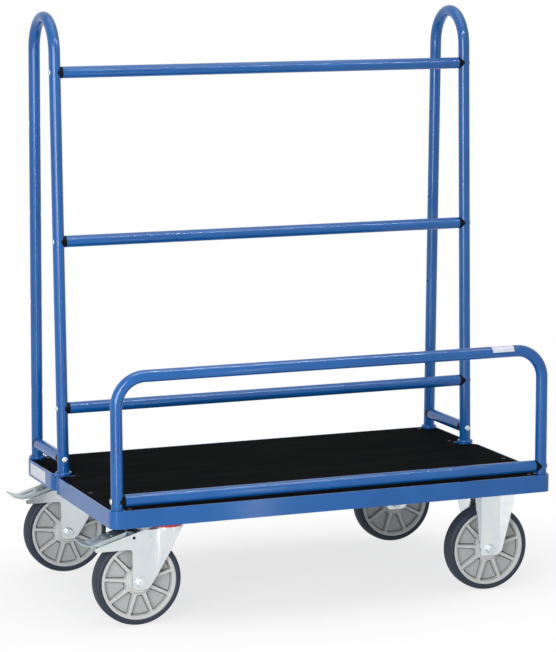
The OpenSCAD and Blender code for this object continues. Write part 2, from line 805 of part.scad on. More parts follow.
// Shoe: a lever on its pin with a pad that follows the tyre; drawn pressed, then lifted
module shoe() {
    shoe_w = tyre_w - 6;
    pad_low = wheel_r + shoe_gap;
    color(zinc) translate([shoe_pin[0], 0, shoe_pin[1]]) rotate([0, shoe_lift, 0])
        translate([-shoe_pin[0], 0, -shoe_pin[1]]) difference() {
            union() {
                intersection() {
                    translate([-trail, 0, wheel_r]) difference() {
                        y_cylinder(pad_low + 4, shoe_w);
                        y_cylinder(pad_low, shoe_w + 2);
                    }
                    translate([-110, -30, wheel_r]) cube([shoe_pin[0] + 110, 60, 130]);
                }
                translate([shoe_pin[0], 0, shoe_pin[1]]) y_cylinder(5.5, shoe_w);
            }
            translate([shoe_pin[0], 0, shoe_pin[1]]) y_cylinder(pin_r + running_fit, 80);
        }
}

// Wheels, drawn with the axle at x = 0

// Tyre with rounded shoulders
module tyre() {
    half = tyre_w / 2;
    color([0.2, 0.25, 0.31]) translate([0, 0, wheel_r]) rotate([90, 0, 0]) rotate_extrude($fn = 128)
        polygon(rounded([[rim_r, -half + 2, 1], [wheel_r - 7, -half, 3], [wheel_r, -half + 9, 9],
            [wheel_r, half - 9, 9], [wheel_r - 7, half, 3], [rim_r, half - 2, 1], [rim_r - 6, 0, 3]]));
}

// Outline of the pocket between two spokes
function pocket_outline(inner, outer) =
    let (step = 360 / spokes,
         half = spoke_t / 2,
         a_in = step / 2 - asin(half / inner),
         a_out = step / 2 - asin(half / outer),
         arc_n = 6)
    rounded(concat(
        [[inner * cos(a_in), -inner * sin(a_in), 4.5]],
        [[outer * cos(a_out), -outer * sin(a_out), 3]],
        [for (i = [1:arc_n - 1]) let (t = a_out * (2 * i / arc_n - 1)) [outer * cos(t), outer * sin(t), 0]],
        [[outer * cos(a_out), outer * sin(a_out), 3]],
        [[inner * cos(a_in), inner * sin(a_in), 4.5]]));

// Rim with pockets between the spokes on both faces, and the seat of the bearing
module rim() {
    face = tyre_w / 2 - 3;
    hub_half = fork_gap / 2 - 2.5;
    first_pocket = -87;
    color([0.68, 0.7, 0.71]) translate([0, 0, wheel_r]) rotate([90, 0, 0]) difference() {
        rotate_extrude($fn = 128) polygon([[bearing_d / 2, -hub_half], [24, -hub_half], [26, -hub_half + 2],
            [28, -face - 1], [rim_r - 6.5, -face], [rim_r - 5.5, -face - 1.5], [rim_r - 0.4, -face - 1.5],
            [rim_r - 0.1, -face - 1], [rim_r - 6.1, 0], [rim_r - 0.1, face + 1], [rim_r - 0.4, face + 1.5],
            [rim_r - 5.5, face + 1.5], [rim_r - 6.5, face], [28, face + 1], [26, hub_half - 2],
            [24, hub_half], [bearing_d / 2, hub_half]]);
        for (i = [0:spokes - 1])
            for (s = [0, 1])
                mirror([0, 0, s]) rotate([0, 0, first_pocket + 360 * i / spokes])
                    translate([0, 0, face - pocket_depth]) linear_extrude(pocket_depth + 3)
                        polygon(pocket_outline(31, rim_r - 8));
    }
}

// Caged rollers between the axle sleeve and the rim
module bearing() {
    rollers = 12;
    inner = axle_sleeve_d / 2 + running_fit;
    outer = bearing_d / 2 - 0.05;
    mid = (inner + outer) / 2;
    color("silver") translate([0, 0, wheel_r]) {
        difference() {
            y_cylinder(mid + 0.8, fork_gap - 9);
            y_cylinder(mid - 0.8, fork_gap);
        }
        for (i = [0:rollers - 1])
            rotate([0, 360 * i / rollers, 0]) translate([mid, 0, 0])
                y_cylinder((outer - inner) / 2, fork_gap - 13);
    }
}

// Half of a side plate's plan at a depth inside its outer face: flat, then flared out round a soft bend
function wing_half(depth) =
    let (r = wing_bend_r + depth, steps = 4)
    concat([for (i = [0:steps]) let (a = wing_angle * i / steps)
            [wing_flat + r * sin(a), arm_out + wing_bend_r - r * cos(a)]],
        [[wing_flat + r * sin(wing_angle) + wing_l * cos(wing_angle),
            arm_out + wing_bend_r - r * cos(wing_angle) + wing_l * sin(wing_angle)]]);

// Plate and two pressed side plates of a fixed caster, whose edges flare outwards
module bracket() {
    top_half = 49;
    low_half = 27.5;
    foot_half = 20;
    outer = wing_half(0);
    inner = wing_half(fork_t);
    last = len(outer) - 1;
    color(zinc) difference() {
        union() {
            caster_plate_blank();
            intersection() {
                for (s = [-1, 1])
                    translate([0, 0, wheel_r - 20]) linear_extrude(plate_low - wheel_r + 20.5)
                        polygon(concat([for (p = outer) [p[0], s * p[1]]],
                            [for (i = [0:last]) [inner[last - i][0], s * inner[last - i][1]]],
                            [for (p = inner) [-p[0], s * p[1]]],
                            [for (i = [0:last]) [-outer[last - i][0], s * outer[last - i][1]]]));
                along_y(2 * plate_w) polygon(rounded([
                    [-top_half, plate_low + 1, 0], [-top_half, plate_low - 14, 8],
                    [-low_half, wheel_r - 6, 8],
                    [-foot_half, wheel_r - 15, 5], [foot_half, wheel_r - 15, 5], [low_half, wheel_r - 6, 8],
                    [top_half, plate_low - 14, 8], [top_half, plate_low + 1, 0]]));
            }
        }
        translate([0, 0, wheel_r]) y_cylinder(axle_d / 2 + 0.1, 80);
    }
}

module caster_bolts() {
    head_h = 6.4;
    color(zinc) for (x = [swivel_x, fixed_x])
        for (y = [front, rear])
            at_caster(x, y) plate_holes(0, 0) {
                translate([0, 0, -web_t / 2 - plate_t]) cylinder(r = plate_bolt_r, h = web_t + plate_t + 10);
                translate([0, 0, -web_t / 2 - plate_t - head_h]) cylinder(r = hex_r, h = head_h, $fn = 6);
            }
}

module caster_nuts() {
    nut_h = 8;
    color(zinc) for (x = [swivel_x, fixed_x])
        for (y = [front, rear])
            at_caster(x, y) plate_holes(0, 0) translate([0, 0, web_t / 2]) difference() {
                cylinder(r = hex_r, h = nut_h, $fn = 6);
                translate([0, 0, -1]) cylinder(r = plate_bolt_r + 0.05, h = nut_h + 2);
            }
}

module fixed_axles() {
    for (y = [front, rear]) at_caster(fixed_x, y) axle_set();
}

// One part of a swivel caster, by name; the wheel's parts stand back by the trail
module swivel_part(part, y) {
    at_caster(swivel_x, y) {
        if (part == "plate") swivel_plate();
        if (part == "kingpin") kingpin();
        if (part == "balls") balls();
        if (part == "seal") seal();
        if (part == "fork") swivel_fork();
        if (part == "pins") brake_pins();
        if (part == "pedal") pedal();
        if (part == "shoe") shoe();
        translate([-trail, 0, 0]) {
            if (part == "axle") axle_set();
            if (part == "tyre") tyre();
            if (part == "rim") rim();
            if (part == "bearing") bearing();
        }
    }
}

// One part of a fixed caster, by name
module fixed_part(part, y) {
    at_caster(fixed_x, y) {
        if (part == "bracket") bracket();
        if (part == "tyre") tyre();
        if (part == "rim") rim();
        if (part == "bearing") bearing();
    }
}

front_frame();
rear_frame();
middle_rail();
left_cross_member();
right_cross_member();
tube_sleeves();
deck_board();
deck_screws();
left_upright();
right_upright();
foot_collars();
left_strut();
right_strut();
strut_saddles();
strut_bolts();
top_crossbar();
middle_crossbar();
bottom_crossbar();
crossbar_saddles();
crossbar_bolts();
front_hoop();
base_bar();
base_bar_saddles();
base_bar_bolts();
caster_bolts();
caster_nuts();
swivel_part("plate", front);  // left_front_plate
swivel_part("kingpin", front);  // left_front_kingpin
swivel_part("balls", front);  // left_front_balls
swivel_part("seal", front);  // left_front_seal
swivel_part("fork", front);  // left_front_fork
swivel_part("axle", front);  // left_front_axle
swivel_part("pins", front);  // left_front_pins
swivel_part("pedal", front);  // left_front_pedal
swivel_part("shoe", front);  // left_front_shoe
swivel_part("tyre", front);  // left_front_tyre
swivel_part("rim", front);  // left_front_rim
swivel_part("bearing", front);  // left_front_bearing
swivel_part("plate", rear);  // left_rear_plate
swivel_part("kingpin", rear);  // left_rear_kingpin
swivel_part("balls", rear);  // left_rear_balls
swivel_part("seal", rear);  // left_rear_seal
swivel_part("fork", rear);  // left_rear_fork
swivel_part("axle", rear);  // left_rear_axle
swivel_part("pins", rear);  // left_rear_pins
swivel_part("pedal", rear);  // left_rear_pedal
swivel_part("shoe", rear);  // left_rear_shoe
swivel_part("tyre", rear);  // left_rear_tyre
swivel_part("rim", rear);  // left_rear_rim
swivel_part("bearing", rear);  // left_rear_bearing
fixed_part("bracket", front);  // right_front_bracket
fixed_part("tyre", front);  // right_front_tyre
fixed_part("rim", front);  // right_front_rim
fixed_part("bearing", front);  // right_front_bearing
fixed_part("bracket", rear);  // right_rear_bracket
fixed_part("tyre", rear);  // right_rear_tyre
fixed_part("rim", rear);  // right_rear_rim
fixed_part("bearing", rear);  // right_rear_bearing
fixed_axles();
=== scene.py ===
"""Looks of a platform truck for panels: its finishes, hand-modelled pieces, studio and camera.

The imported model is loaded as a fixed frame. Each class below dresses one sub-assembly of the truck. Its sizes
are in millimetres, measured from the platform's front left corner on the floor; the studio's are in metres.
"""

import json
import logging
import math
from collections.abc import Callable, Sequence
from dataclasses import dataclass, field
from enum import Enum

import bpy
from mathutils import Euler, Matrix, Vector

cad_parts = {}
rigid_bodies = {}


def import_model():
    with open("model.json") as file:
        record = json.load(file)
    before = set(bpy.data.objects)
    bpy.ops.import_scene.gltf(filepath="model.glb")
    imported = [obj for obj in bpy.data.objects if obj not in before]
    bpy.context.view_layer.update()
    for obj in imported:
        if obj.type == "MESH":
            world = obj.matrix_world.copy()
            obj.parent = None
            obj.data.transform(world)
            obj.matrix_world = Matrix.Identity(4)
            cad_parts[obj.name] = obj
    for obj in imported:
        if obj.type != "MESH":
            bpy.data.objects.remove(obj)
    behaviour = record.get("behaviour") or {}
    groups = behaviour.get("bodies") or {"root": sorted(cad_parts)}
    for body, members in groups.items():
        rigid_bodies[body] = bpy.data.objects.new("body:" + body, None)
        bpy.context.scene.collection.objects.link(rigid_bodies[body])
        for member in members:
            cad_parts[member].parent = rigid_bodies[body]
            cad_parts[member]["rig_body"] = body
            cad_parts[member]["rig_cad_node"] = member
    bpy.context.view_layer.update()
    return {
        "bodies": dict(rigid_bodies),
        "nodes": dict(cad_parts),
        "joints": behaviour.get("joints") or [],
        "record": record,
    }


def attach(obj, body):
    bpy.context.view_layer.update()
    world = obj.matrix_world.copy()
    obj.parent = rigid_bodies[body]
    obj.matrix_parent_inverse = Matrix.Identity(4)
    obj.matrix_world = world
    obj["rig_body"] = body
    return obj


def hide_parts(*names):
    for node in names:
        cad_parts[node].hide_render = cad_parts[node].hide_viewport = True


LOG = logging.getLogger("platform_truck")
MM = 0.001
CORNER = Vector((-505.5, -325.0, 0.0))
FINE_DETAIL = 2.0

Colour = tuple[float, float, float]
Point = tuple[float, float, float]
Pair = tuple[float, float]
Piece = bpy.types.Object
Material = bpy.types.Material
Socket = bpy.types.NodeSocket


def at(x: float, y: float, z: float) -> Vector:
    """Returns a point of the truck's frame, in metres, from platform millimetres."""
    return (CORNER + Vector((x, y, z))) * MM


def srgb(red: int, green: int, blue: int) -> Colour:
    """Returns the linear colour of three display values from 0 to 255."""
    parts = []
    for value in (red, green, blue):
        share = value / 255
        parts.append(share / 12.92 if share <= 0.04045 else ((share + 0.055) / 1.055) ** 2.4)
    return (parts[0], parts[1], parts[2])


class Axis(Enum):
    """A main direction, with the turn that lays a circle across it."""

    X = ((1.0, 0.0, 0.0), (0.0, math.pi / 2, 0.0))
    Y = ((0.0, 1.0, 0.0), (-math.pi / 2, 0.0, 0.0))
    Z = ((0.0, 0.0, 1.0), (0.0, 0.0, 0.0))

    @property
    def vector(self) -> Vector:
        """The direction as a unit vector."""
        return Vector(self.value[0])

    @property
    def turn(self) -> Point:
        """The rotation given to a circle primitive."""
        return self.value[1]


class Value:
    """A number socket that takes part in Python sums; each operation adds a Math node."""

    def __init__(self, graph: "Graph", socket: Socket) -> None:
        """Wraps an output socket of the graph."""
        self.graph = graph
        self.socket = socket

    def _math(self, operation: str, other: "Value | float") -> "Value":
        """Returns the result of one Math node."""
        made = self.graph.node("ShaderNodeMath", {"operation": operation}, {0: self, 1: other})
        return Value(self.graph, made.outputs[0])

    def __add__(self, other: "Value | float") -> "Value":
        """Returns self + other."""
        return self._math("ADD", other)

    __radd__ = __add__

    def __mul__(self, other: "Value | float") -> "Value":
        """Returns self * other."""
        return self._math("MULTIPLY", other)

    __rmul__ = __mul__

    def most(self, other: "Value | float") -> "Value":
        """Returns the larger of self and other."""
        return self._math("MAXIMUM", other)

    def band(self, low: float, high: float) -> "Value":
        """Returns 0 below low, 1 above high and a smooth step between them."""
        span = {"Value": self, "From Min": low, "From Max": high}
        made = self.graph.node("ShaderNodeMapRange", {"interpolation_type": "SMOOTHSTEP"}, span)
        return Value(self.graph, made.outputs["Result"])


class Graph:
    """A node tree in the making."""

    def __init__(self, tree: bpy.types.NodeTree) -> None:
        """Wraps a node tree."""
        self.tree = tree

    def node(self, kind: str, settings: dict[str, object], inputs: dict[str | int, object]) -> bpy.types.Node:
        """Adds a node.

        Args:
            kind: The node's type name.
            settings: Properties of the node, set first.
            inputs: Values, sockets or Value objects by socket name or number.

        Returns:
            The new node.
        """
        made = self.tree.nodes.new(kind)
        for key, value in settings.items():
            setattr(made, key, value)
        for key, value in inputs.items():
            self.feed(made.inputs[key], value)
        return made

    def feed(self, socket: Socket, value: object) -> None:
        """Links a socket or a Value into an input, or sets the input's own value."""
        if isinstance(value, Value):
            self.tree.links.new(value.socket, socket)
        elif isinstance(value, Socket):
            self.tree.links.new(value, socket)
        elif isinstance(value, tuple) and len(value) == 3 and socket.type == "RGBA":
            socket.default_value = (*value, 1.0)
        else:
            socket.default_value = value


class Surface(Graph):
    """The node tree of a new material that ends in one Principled shader."""

    def __init__(self, name: str) -> None:
        """Makes the material."""
        self.material = bpy.data.materials.new(name)
        self.material.use_nodes = True
        super().__init__(self.material.node_tree)
        self.shader = self.tree.nodes["Principled BSDF"]
        self.output = self.tree.nodes["Material Output"]

    def place(self, scale: Point = (1.0, 1.0, 1.0), centre: Vector | None = None) -> Socket:
        """Returns object coordinates from a centre, stretched by a scale."""
        moved = self.node("ShaderNodeTexCoord", {}, {}).outputs["Object"]
        if centre is not None:
            shift = self.node("ShaderNodeVectorMath", {"operation": "SUBTRACT"}, {0: moved, 1: tuple(centre)})
            moved = shift.outputs[0]
        mapping = self.node("ShaderNodeMapping", {}, {"Vector": moved, "Scale": scale})
        return mapping.outputs["Vector"]

    def reach(self, scale: Point, centre: Vector | None = None) -> Value:
        """Returns how far a point lies from a centre once stretched by a scale, in metres."""
        made = self.node("ShaderNodeVectorMath", {"operation": "LENGTH"}, {0: self.place(scale, centre)})
        return Value(self, made.outputs["Value"])

    def noise(self, grain: float, detail: float = 3.0, scale: Point = (1.0, 1.0, 1.0)) -> Value:
        """Returns noise from 0 to 1 whose grain is about that many millimetres."""
        inputs = {"Vector": self.place(scale), "Scale": 1.0 / (grain * MM), "Detail": detail}
        made = self.node("ShaderNodeTexNoise", {}, inputs)
        return Value(self, made.outputs["Fac"])

    def varied(self, mean: float, *parts: tuple[Value, float]) -> Value:
        """Returns a mean that each part's noise moves up and down by half of its swing."""
        total = parts[0][0] * parts[0][1]
        for noise, swing in parts[1:]:
            total = total + noise * swing
        return total + (mean - sum(swing for _, swing in parts) / 2)

    def blend(self, share: Value, first: object, second: object) -> Socket:
        """Returns the colour between two colours, or colour sockets, at a share from 0 to 1."""
        made = self.node("ShaderNodeMix", {"data_type": "RGBA"}, {0: share, 6: first, 7: second})
        return made.outputs[2]

    def bump(self, height: Value, depth: float) -> None:
        """Raises the surface by a height from 0 to 1 times a depth in millimetres."""
        made = self.node("ShaderNodeBump", {}, {"Height": height, "Distance": depth * MM, "Strength": 1.0})
        self.feed(self.shader.inputs["Normal"], made.outputs["Normal"])

    def set(self, **inputs: object) -> None:
        """Sets or links inputs of the Principled shader, with _ for a space in their names."""
        for key, value in inputs.items():
            self.feed(self.shader.inputs[key.replace("_", " ").title().replace("Ior", "IOR")], value)


@dataclass(frozen=True)
class PowderCoat:
    """Semi-gloss powder coat with a fine orange peel."""

    name: str = "frame_paint"
    colour: Colour = srgb(14, 94, 167)
    deep: Colour = srgb(11, 87, 158)
    roughness: float = 0.2
    gloss: float = 0.42
    cloud: float = 160.0
    rub: float = 28.0
    peel: float = 1.4
    peel_depth: float = 0.004

    def build(self) -> Material:
        """Returns the material."""
        look = Surface(self.name)
        look.set(
            base_color=look.blend(look.noise(self.cloud).band(0.35, 0.65), self.deep, self.colour),
            roughness=look.varied(self.roughness, (look.noise(self.rub), 0.06)),
            specular_ior_level=self.gloss,
        )
        look.bump(look.noise(self.peel, FINE_DETAIL), self.peel_depth)
        return look.material


@dataclass(frozen=True)
class BoardFilm:
    """Dark phenolic film on the deck board, with fine paler streaks along the board: grain in the film and a
    painted reflection.
    """

    name: str = "deck_board"
    colour: Colour = srgb(15, 17, 18)
    # Paler streak colour: grain and a painted reflection.
    streak_and_sheen: Colour = srgb(31, 32, 31)
    roughness: float = 0.63
    gloss: float = 0.001
    fine: float = 2.4
    fine_stretch: Point = (0.03, 1.0, 1.0)
    broad: float = 40.0
    broad_stretch: Point = (0.2, 1.0, 1.0)
    depth: float = 0.03

    def build(self) -> Material:
        """Returns the material."""
        look = Surface(self.name)
        fine = look.noise(self.fine, 4.0, self.fine_stretch)
        broad = look.noise(self.broad, 3.0, self.broad_stretch)
        # Share of the paler streaks, grain and painted reflection, from fine and broad noise.
        share = fine.band(0.45, 0.75) * 0.6 + broad.band(0.3, 0.8) * 0.4
        look.set(
            base_color=look.blend(share, self.colour, self.streak_and_sheen),
            roughness=look.varied(self.roughness, (fine, 0.12), (broad, 0.1)),
            specular_ior_level=self.gloss,
        )
        look.bump(fine, self.depth)
        return look.material


@dataclass(frozen=True)
class Mottled:
    """A finish whose colour and gloss drift with a cloud and a fine grain; moulded plastic as it stands."""

    name: str
    shade: Colour
    colour: Colour
    roughness: float
    gloss: float = 0.4
    metallic: float = 0.0
    cloud: float = 35.0
    span: Pair = (0.3, 0.7)
    cloud_swing: float = 0.08
    grain: float = 0.7
    detail: float = FINE_DETAIL
    grain_swing: float = 0.1
    depth: float = 0.015

    def build(self) -> Material:
        """Returns the material."""
        look = Surface(self.name)
        cloud = look.noise(self.cloud)
        grain = look.noise(self.grain, self.detail)
        look.set(
            base_color=look.blend(cloud.band(*self.span), self.shade, self.colour),
            metallic=self.metallic,
            roughness=look.varied(self.roughness, (grain, self.grain_swing), (cloud, self.cloud_swing)),
            specular_ior_level=self.gloss,
        )
        look.bump(grain, self.depth)
        return look.material


@dataclass(frozen=True)
class Zinc(Mottled):
    """Zinc plating, faintly mottled, with a cast that shifts a little."""

    gloss: float = 0.5
    metallic: float = 0.9
    cloud: float = 22.0
    span: Pair = (0.35, 0.7)
    cloud_swing: float = 0.1
    grain: float = 1.6
    grain_swing: float = 0.12
    depth: float = 0.01


@dataclass(frozen=True)
class RimCasting:
    """Grey moulded rim with painted shade: darker in its pockets, with a dark painted shadow in the groove
    round each floor.
    """

    name: str
    centre: Vector
    face: Colour = srgb(204, 207, 205)
    # Painted shade: the pocket floors take a darker grey than the face.
    floor: Colour = srgb(176, 180, 180)
    # Painted shadow: the groove round each floor takes a dark brown-grey.
    groove: Colour = srgb(74, 73, 70)
    pocket_shade_at: Pair = (8.6, 17.0)
    groove_shadow_at: Pair = (6.7, 7.4)
    roughness: float = 0.41
    gloss: float = 0.4
    cloud: float = 26.0
    grain: float = 0.7
    grain_depth: float = 0.012

    def build(self) -> Material:
        """Returns the material."""
        look = Surface(self.name)
        height = look.reach((0.0, 1.0, 0.0), self.centre)
        cloud = look.noise(self.cloud)
        # Painted shade by height from the wheel's mid-plane: the floors darker, the groove a painted shadow.
        out = height.band(self.pocket_shade_at[0] * MM, self.pocket_shade_at[1] * MM) * 0.85 + cloud * 0.15
        pocket_shaded = look.blend(out, self.floor, self.face)
        above = height.band(self.groove_shadow_at[0] * MM, self.groove_shadow_at[1] * MM)
        look.set(
            base_color=look.blend(above, self.groove, pocket_shaded),
            roughness=look.varied(self.roughness, (cloud, 0.1)),
            specular_ior_level=self.gloss,
        )
        look.bump(look.noise(self.grain, FINE_DETAIL), self.grain_depth)
        return look.material


@dataclass(frozen=True)
class Rubber:
    """Solid rubber, paler and rougher on the tread than on the walls: wear, with a painted sheen in the paler
    colour.
    """

    name: str
    centre: Vector
    wall: Colour = srgb(41, 51, 65)
    # The paler tread colour is wear and a painted sheen.
    tread: Colour = srgb(53, 63, 75)
    roughness: float = 0.58
    gloss: float = 0.3
    tread_at: Pair = (97.5, 99.6)
    dust: float = 9.0
    grain: float = 0.8
    grain_depth: float = 0.02

    def build(self) -> Material:
        """Returns the material."""
        look = Surface(self.name)
        radius = look.reach((1.0, 0.0, 1.0), self.centre)
        # Band of the tread: wear and a painted sheen make it paler, and wear makes it rougher.
        wear_and_sheen = radius.band(self.tread_at[0] * MM, self.tread_at[1] * MM)
        dust = look.noise(self.dust)
        look.set(
            base_color=look.blend(wear_and_sheen * 0.8 + dust * 0.2, self.wall, self.tread),
            roughness=wear_and_sheen * 0.15 + look.varied(self.roughness, (dust, 0.12)),
            specular_ior_level=self.gloss,
        )
        look.bump(look.noise(self.grain, FINE_DETAIL), self.grain_depth)
        return look.material


class Finishes:
    """The materials of the truck, each made once."""

    def __init__(self) -> None:
        """Builds every finish that isn't tied to a place; those in by_slot are named like their slots."""
        named = (
            PowderCoat(),
            BoardFilm(),
            Zinc("zinc", srgb(212, 219, 224), srgb(218, 222, 222), 0.21),
            Zinc("black_zinc", srgb(40, 41, 44), srgb(58, 58, 60), 0.42),
            Mottled(
                "bearing_steel", srgb(178, 180, 184), srgb(120, 112, 98), 0.25, gloss=0.5, metallic=1.0,
                cloud=6.0, span=(0.5, 0.7), cloud_swing=0.2, grain_swing=0.0, depth=0.0,
            ),
            Mottled("black_plastic", srgb(12, 13, 13), srgb(19, 20, 20), 0.5, 0.06),
            Mottled("red_seal", srgb(222, 42, 32), srgb(240, 50, 36), 0.36),
            Mottled("grey_rim", srgb(195, 198, 201), srgb(204, 207, 209), 0.42),
        )
        self.by_slot = {finish.name: finish.build() for finish in named}
        self.by_slot["tyre"] = self.by_slot["black_plastic"]
        self.dull_zinc = Zinc("dull_zinc", srgb(196, 206, 210), srgb(206, 210, 208), 0.5).build()
        # Painted shade: a darker copy of the zinc for the brake pedals, which sit in shade under the frame.
        self.shaded_pedal_zinc = Zinc("shaded_pedal_zinc", srgb(166, 180, 184), srgb(182, 190, 190), 0.36).build()
        self.label = Mottled(
            "blank_label", srgb(210, 216, 229), srgb(222, 227, 238), 0.35, gloss=0.5,
            cloud=14.0, cloud_swing=0.1, grain=5.0, detail=3.0, grain_swing=0.0, depth=0.02,
        ).build()


class Bench:
    """Modelling by hand with Blender's own operators."""

    @staticmethod
    def clear() -> None:
        """Leaves edit mode and deselects everything."""
        if bpy.context.mode != "OBJECT":
            bpy.ops.object.mode_set(mode="OBJECT")
        bpy.ops.object.select_all(action="DESELECT")

    @classmethod
    def hold(cls, piece: Piece) -> None:
        """Makes a piece the only selected one, and the active one."""
        cls.clear()
        piece.select_set(True)
        bpy.context.view_layer.objects.active = piece

    @classmethod
    def edit(cls, piece: Piece) -> None:
        """Opens a piece in edit mode with its whole mesh selected."""
        cls.hold(piece)
        bpy.ops.object.mode_set(mode="EDIT")
        bpy.ops.mesh.select_mode(type="VERT")
        bpy.ops.mesh.select_all(action="SELECT")

    @classmethod
    def named(cls, name: str) -> Piece:
        """Applies the place of the piece just added and gives it its name."""
        piece = bpy.context.active_object
        piece.name = name
        piece.data.name = name
        bpy.ops.object.transform_apply(location=True, rotation=True, scale=True)
        return piece

    @classmethod
    def ring(cls, name: str, radius: float, centre: Vector, axis: Axis, sides: int = 48) -> Piece:
        """Returns an open circle of that radius in millimetres, across an axis, and opens it in edit mode."""
        cls.clear()
        bpy.ops.mesh.primitive_circle_add(
            vertices=sides, radius=radius * MM, fill_type="NOTHING", location=centre, rotation=axis.turn
        )
        piece = cls.named(name)
        cls.edit(piece)
        return piece

    @staticmethod
    def pull(step: Vector) -> None:
        """Extrudes what is selected by a step in metres."""
        bpy.ops.mesh.extrude_region_move(TRANSFORM_OT_translate={"value": step})

    @staticmethod
    def bend(centre: Vector, axis: Vector) -> None:
        """Extrudes what is selected by a quarter turn round a point, against the axis's right hand."""
        bpy.ops.mesh.spin(steps=16, angle=math.pi / 2, center=centre, axis=axis)

    @classmethod
    def turned(
        cls,
        name: str,
        profile: Sequence[Pair],
        centre: Vector,
        axis: Axis,
        sides: int = 48,
        closed: bool = False,
    ) -> Piece:
        """Models a turned body ring by ring.

        Args:
            name: The piece's name.
            profile: Radius and place along the axis of each ring, in millimetres.
            centre: The point of the axis where the place along it is 0, in metres.
            axis: The axis.
            sides: Sides of each ring.
            closed: Whether the last ring joins the first, as on a tyre; otherwise both ends are capped.

        Returns:
            The piece, with its faces pointing outwards.
        """
        radius, along = profile[0]
        piece = cls.ring(name, radius, centre + axis.vector * along * MM, axis, sides)
        for next_radius, next_along in profile[1:]:
            cls.pull(axis.vector * (next_along - along) * MM)
            scale = next_radius / radius
            middle = centre + axis.vector * next_along * MM
            bpy.ops.transform.resize(value=(scale, scale, scale), center_override=middle)
            radius, along = next_radius, next_along
        bpy.ops.mesh.select_all(action="SELECT")
        if closed:
            bpy.ops.mesh.select_non_manifold(extend=False)
            bpy.ops.mesh.bridge_edge_loops()
        else:
            bpy.ops.mesh.fill_holes(sides=0)
        bpy.ops.mesh.select_all(action="SELECT")
        bpy.ops.mesh.normals_make_consistent(inside=False)
        cls.clear()
        return piece

    @classmethod
    def walled(cls, piece: Piece, wall: float) -> None:
        """Merges doubles, turns the faces out and gives an open shell a wall inside it."""
        cls.edit(piece)
        bpy.ops.mesh.remove_doubles(threshold=0.01 * MM)
        bpy.ops.mesh.normals_make_consistent(inside=False)
        cls.clear()
        cls.modify(piece, "SOLIDIFY", thickness=wall * MM, offset=-1.0, use_even_offset=True)

    @classmethod
    def modify(cls, piece: Piece, kind: str, **settings: object) -> None:
        """Adds a modifier with its settings and applies it."""
        cls.hold(piece)
        modifier = piece.modifiers.new(kind.title(), kind)
        for key, value in settings.items():
            setattr(modifier, key, value)
        bpy.ops.object.modifier_apply(modifier=modifier.name)

    @classmethod
    def cut(cls, piece: Piece, tool: Piece) -> None:
        """Cuts a tool out of a piece and throws the tool away."""
        cls.modify(piece, "BOOLEAN", operation="DIFFERENCE", solver="EXACT", object=tool)
        bpy.data.objects.remove(tool)

    @classmethod
    def rounded(cls, piece: Piece, width: float, segments: int = 3, limit: float = 35.0) -> None:
        """Rounds the edges sharper than the limit by a width in millimetres."""
        cls.modify(
            piece, "BEVEL", width=width * MM, segments=segments, limit_method="ANGLE",
            angle_limit=math.radians(limit), use_clamp_overlap=True, miter_outer="MITER_ARC",
        )

    @classmethod
    def shaded(cls, piece: Piece, angle: float = 38.0) -> None:
        """Shades smooth across edges flatter than an angle in degrees, true on the large faces."""
        cls.hold(piece)
        bpy.ops.object.shade_smooth_by_angle(angle=math.radians(angle))
        cls.modify(piece, "WEIGHTED_NORMAL", keep_sharp=True, weight=60)

    @classmethod
    def pick_faces(cls, piece: Piece, wanted: Callable[[bpy.types.MeshPolygon], bool]) -> None:
        """Selects the faces that a test wants and opens edit mode in face mode."""
        cls.hold(piece)
        bpy.ops.object.mode_set(mode="EDIT")
        bpy.ops.mesh.select_mode(type="FACE")
        bpy.ops.mesh.select_all(action="DESELECT")
        bpy.ops.object.mode_set(mode="OBJECT")
        for face in piece.data.polygons:
            face.select = wanted(face)
        bpy.ops.object.mode_set(mode="EDIT")

    @classmethod
    def copy(cls, piece: Piece, name: str, place: Matrix) -> Piece:
        """Returns a copy with its own mesh, moved by a matrix that is then applied."""
        cls.hold(piece)
        bpy.ops.object.duplicate(linked=False)
        made = bpy.context.active_object
        made.matrix_world = place @ made.matrix_world
        return cls.named(name)

    @classmethod
    def joined(cls, pieces: Sequence[Piece], name: str) -> Piece:
        """Joins pieces into the first of them and returns it under a name."""
        cls.clear()
        for piece in pieces:
            piece.select_set(True)
        bpy.context.view_layer.objects.active = pieces[0]
        bpy.ops.object.join()
        pieces[0].name = name
        return pieces[0]

    @classmethod
    def repeated(cls, piece: Piece, places: Sequence[Vector], name: str) -> Piece:
        """Copies a piece from the first place to each of the others and returns them as one piece."""
        pieces = [piece]
        for place in places[1:]:
            pieces.append(cls.copy(piece, piece.name, Matrix.Translation(place - places[0])))
        return cls.joined(pieces, name)


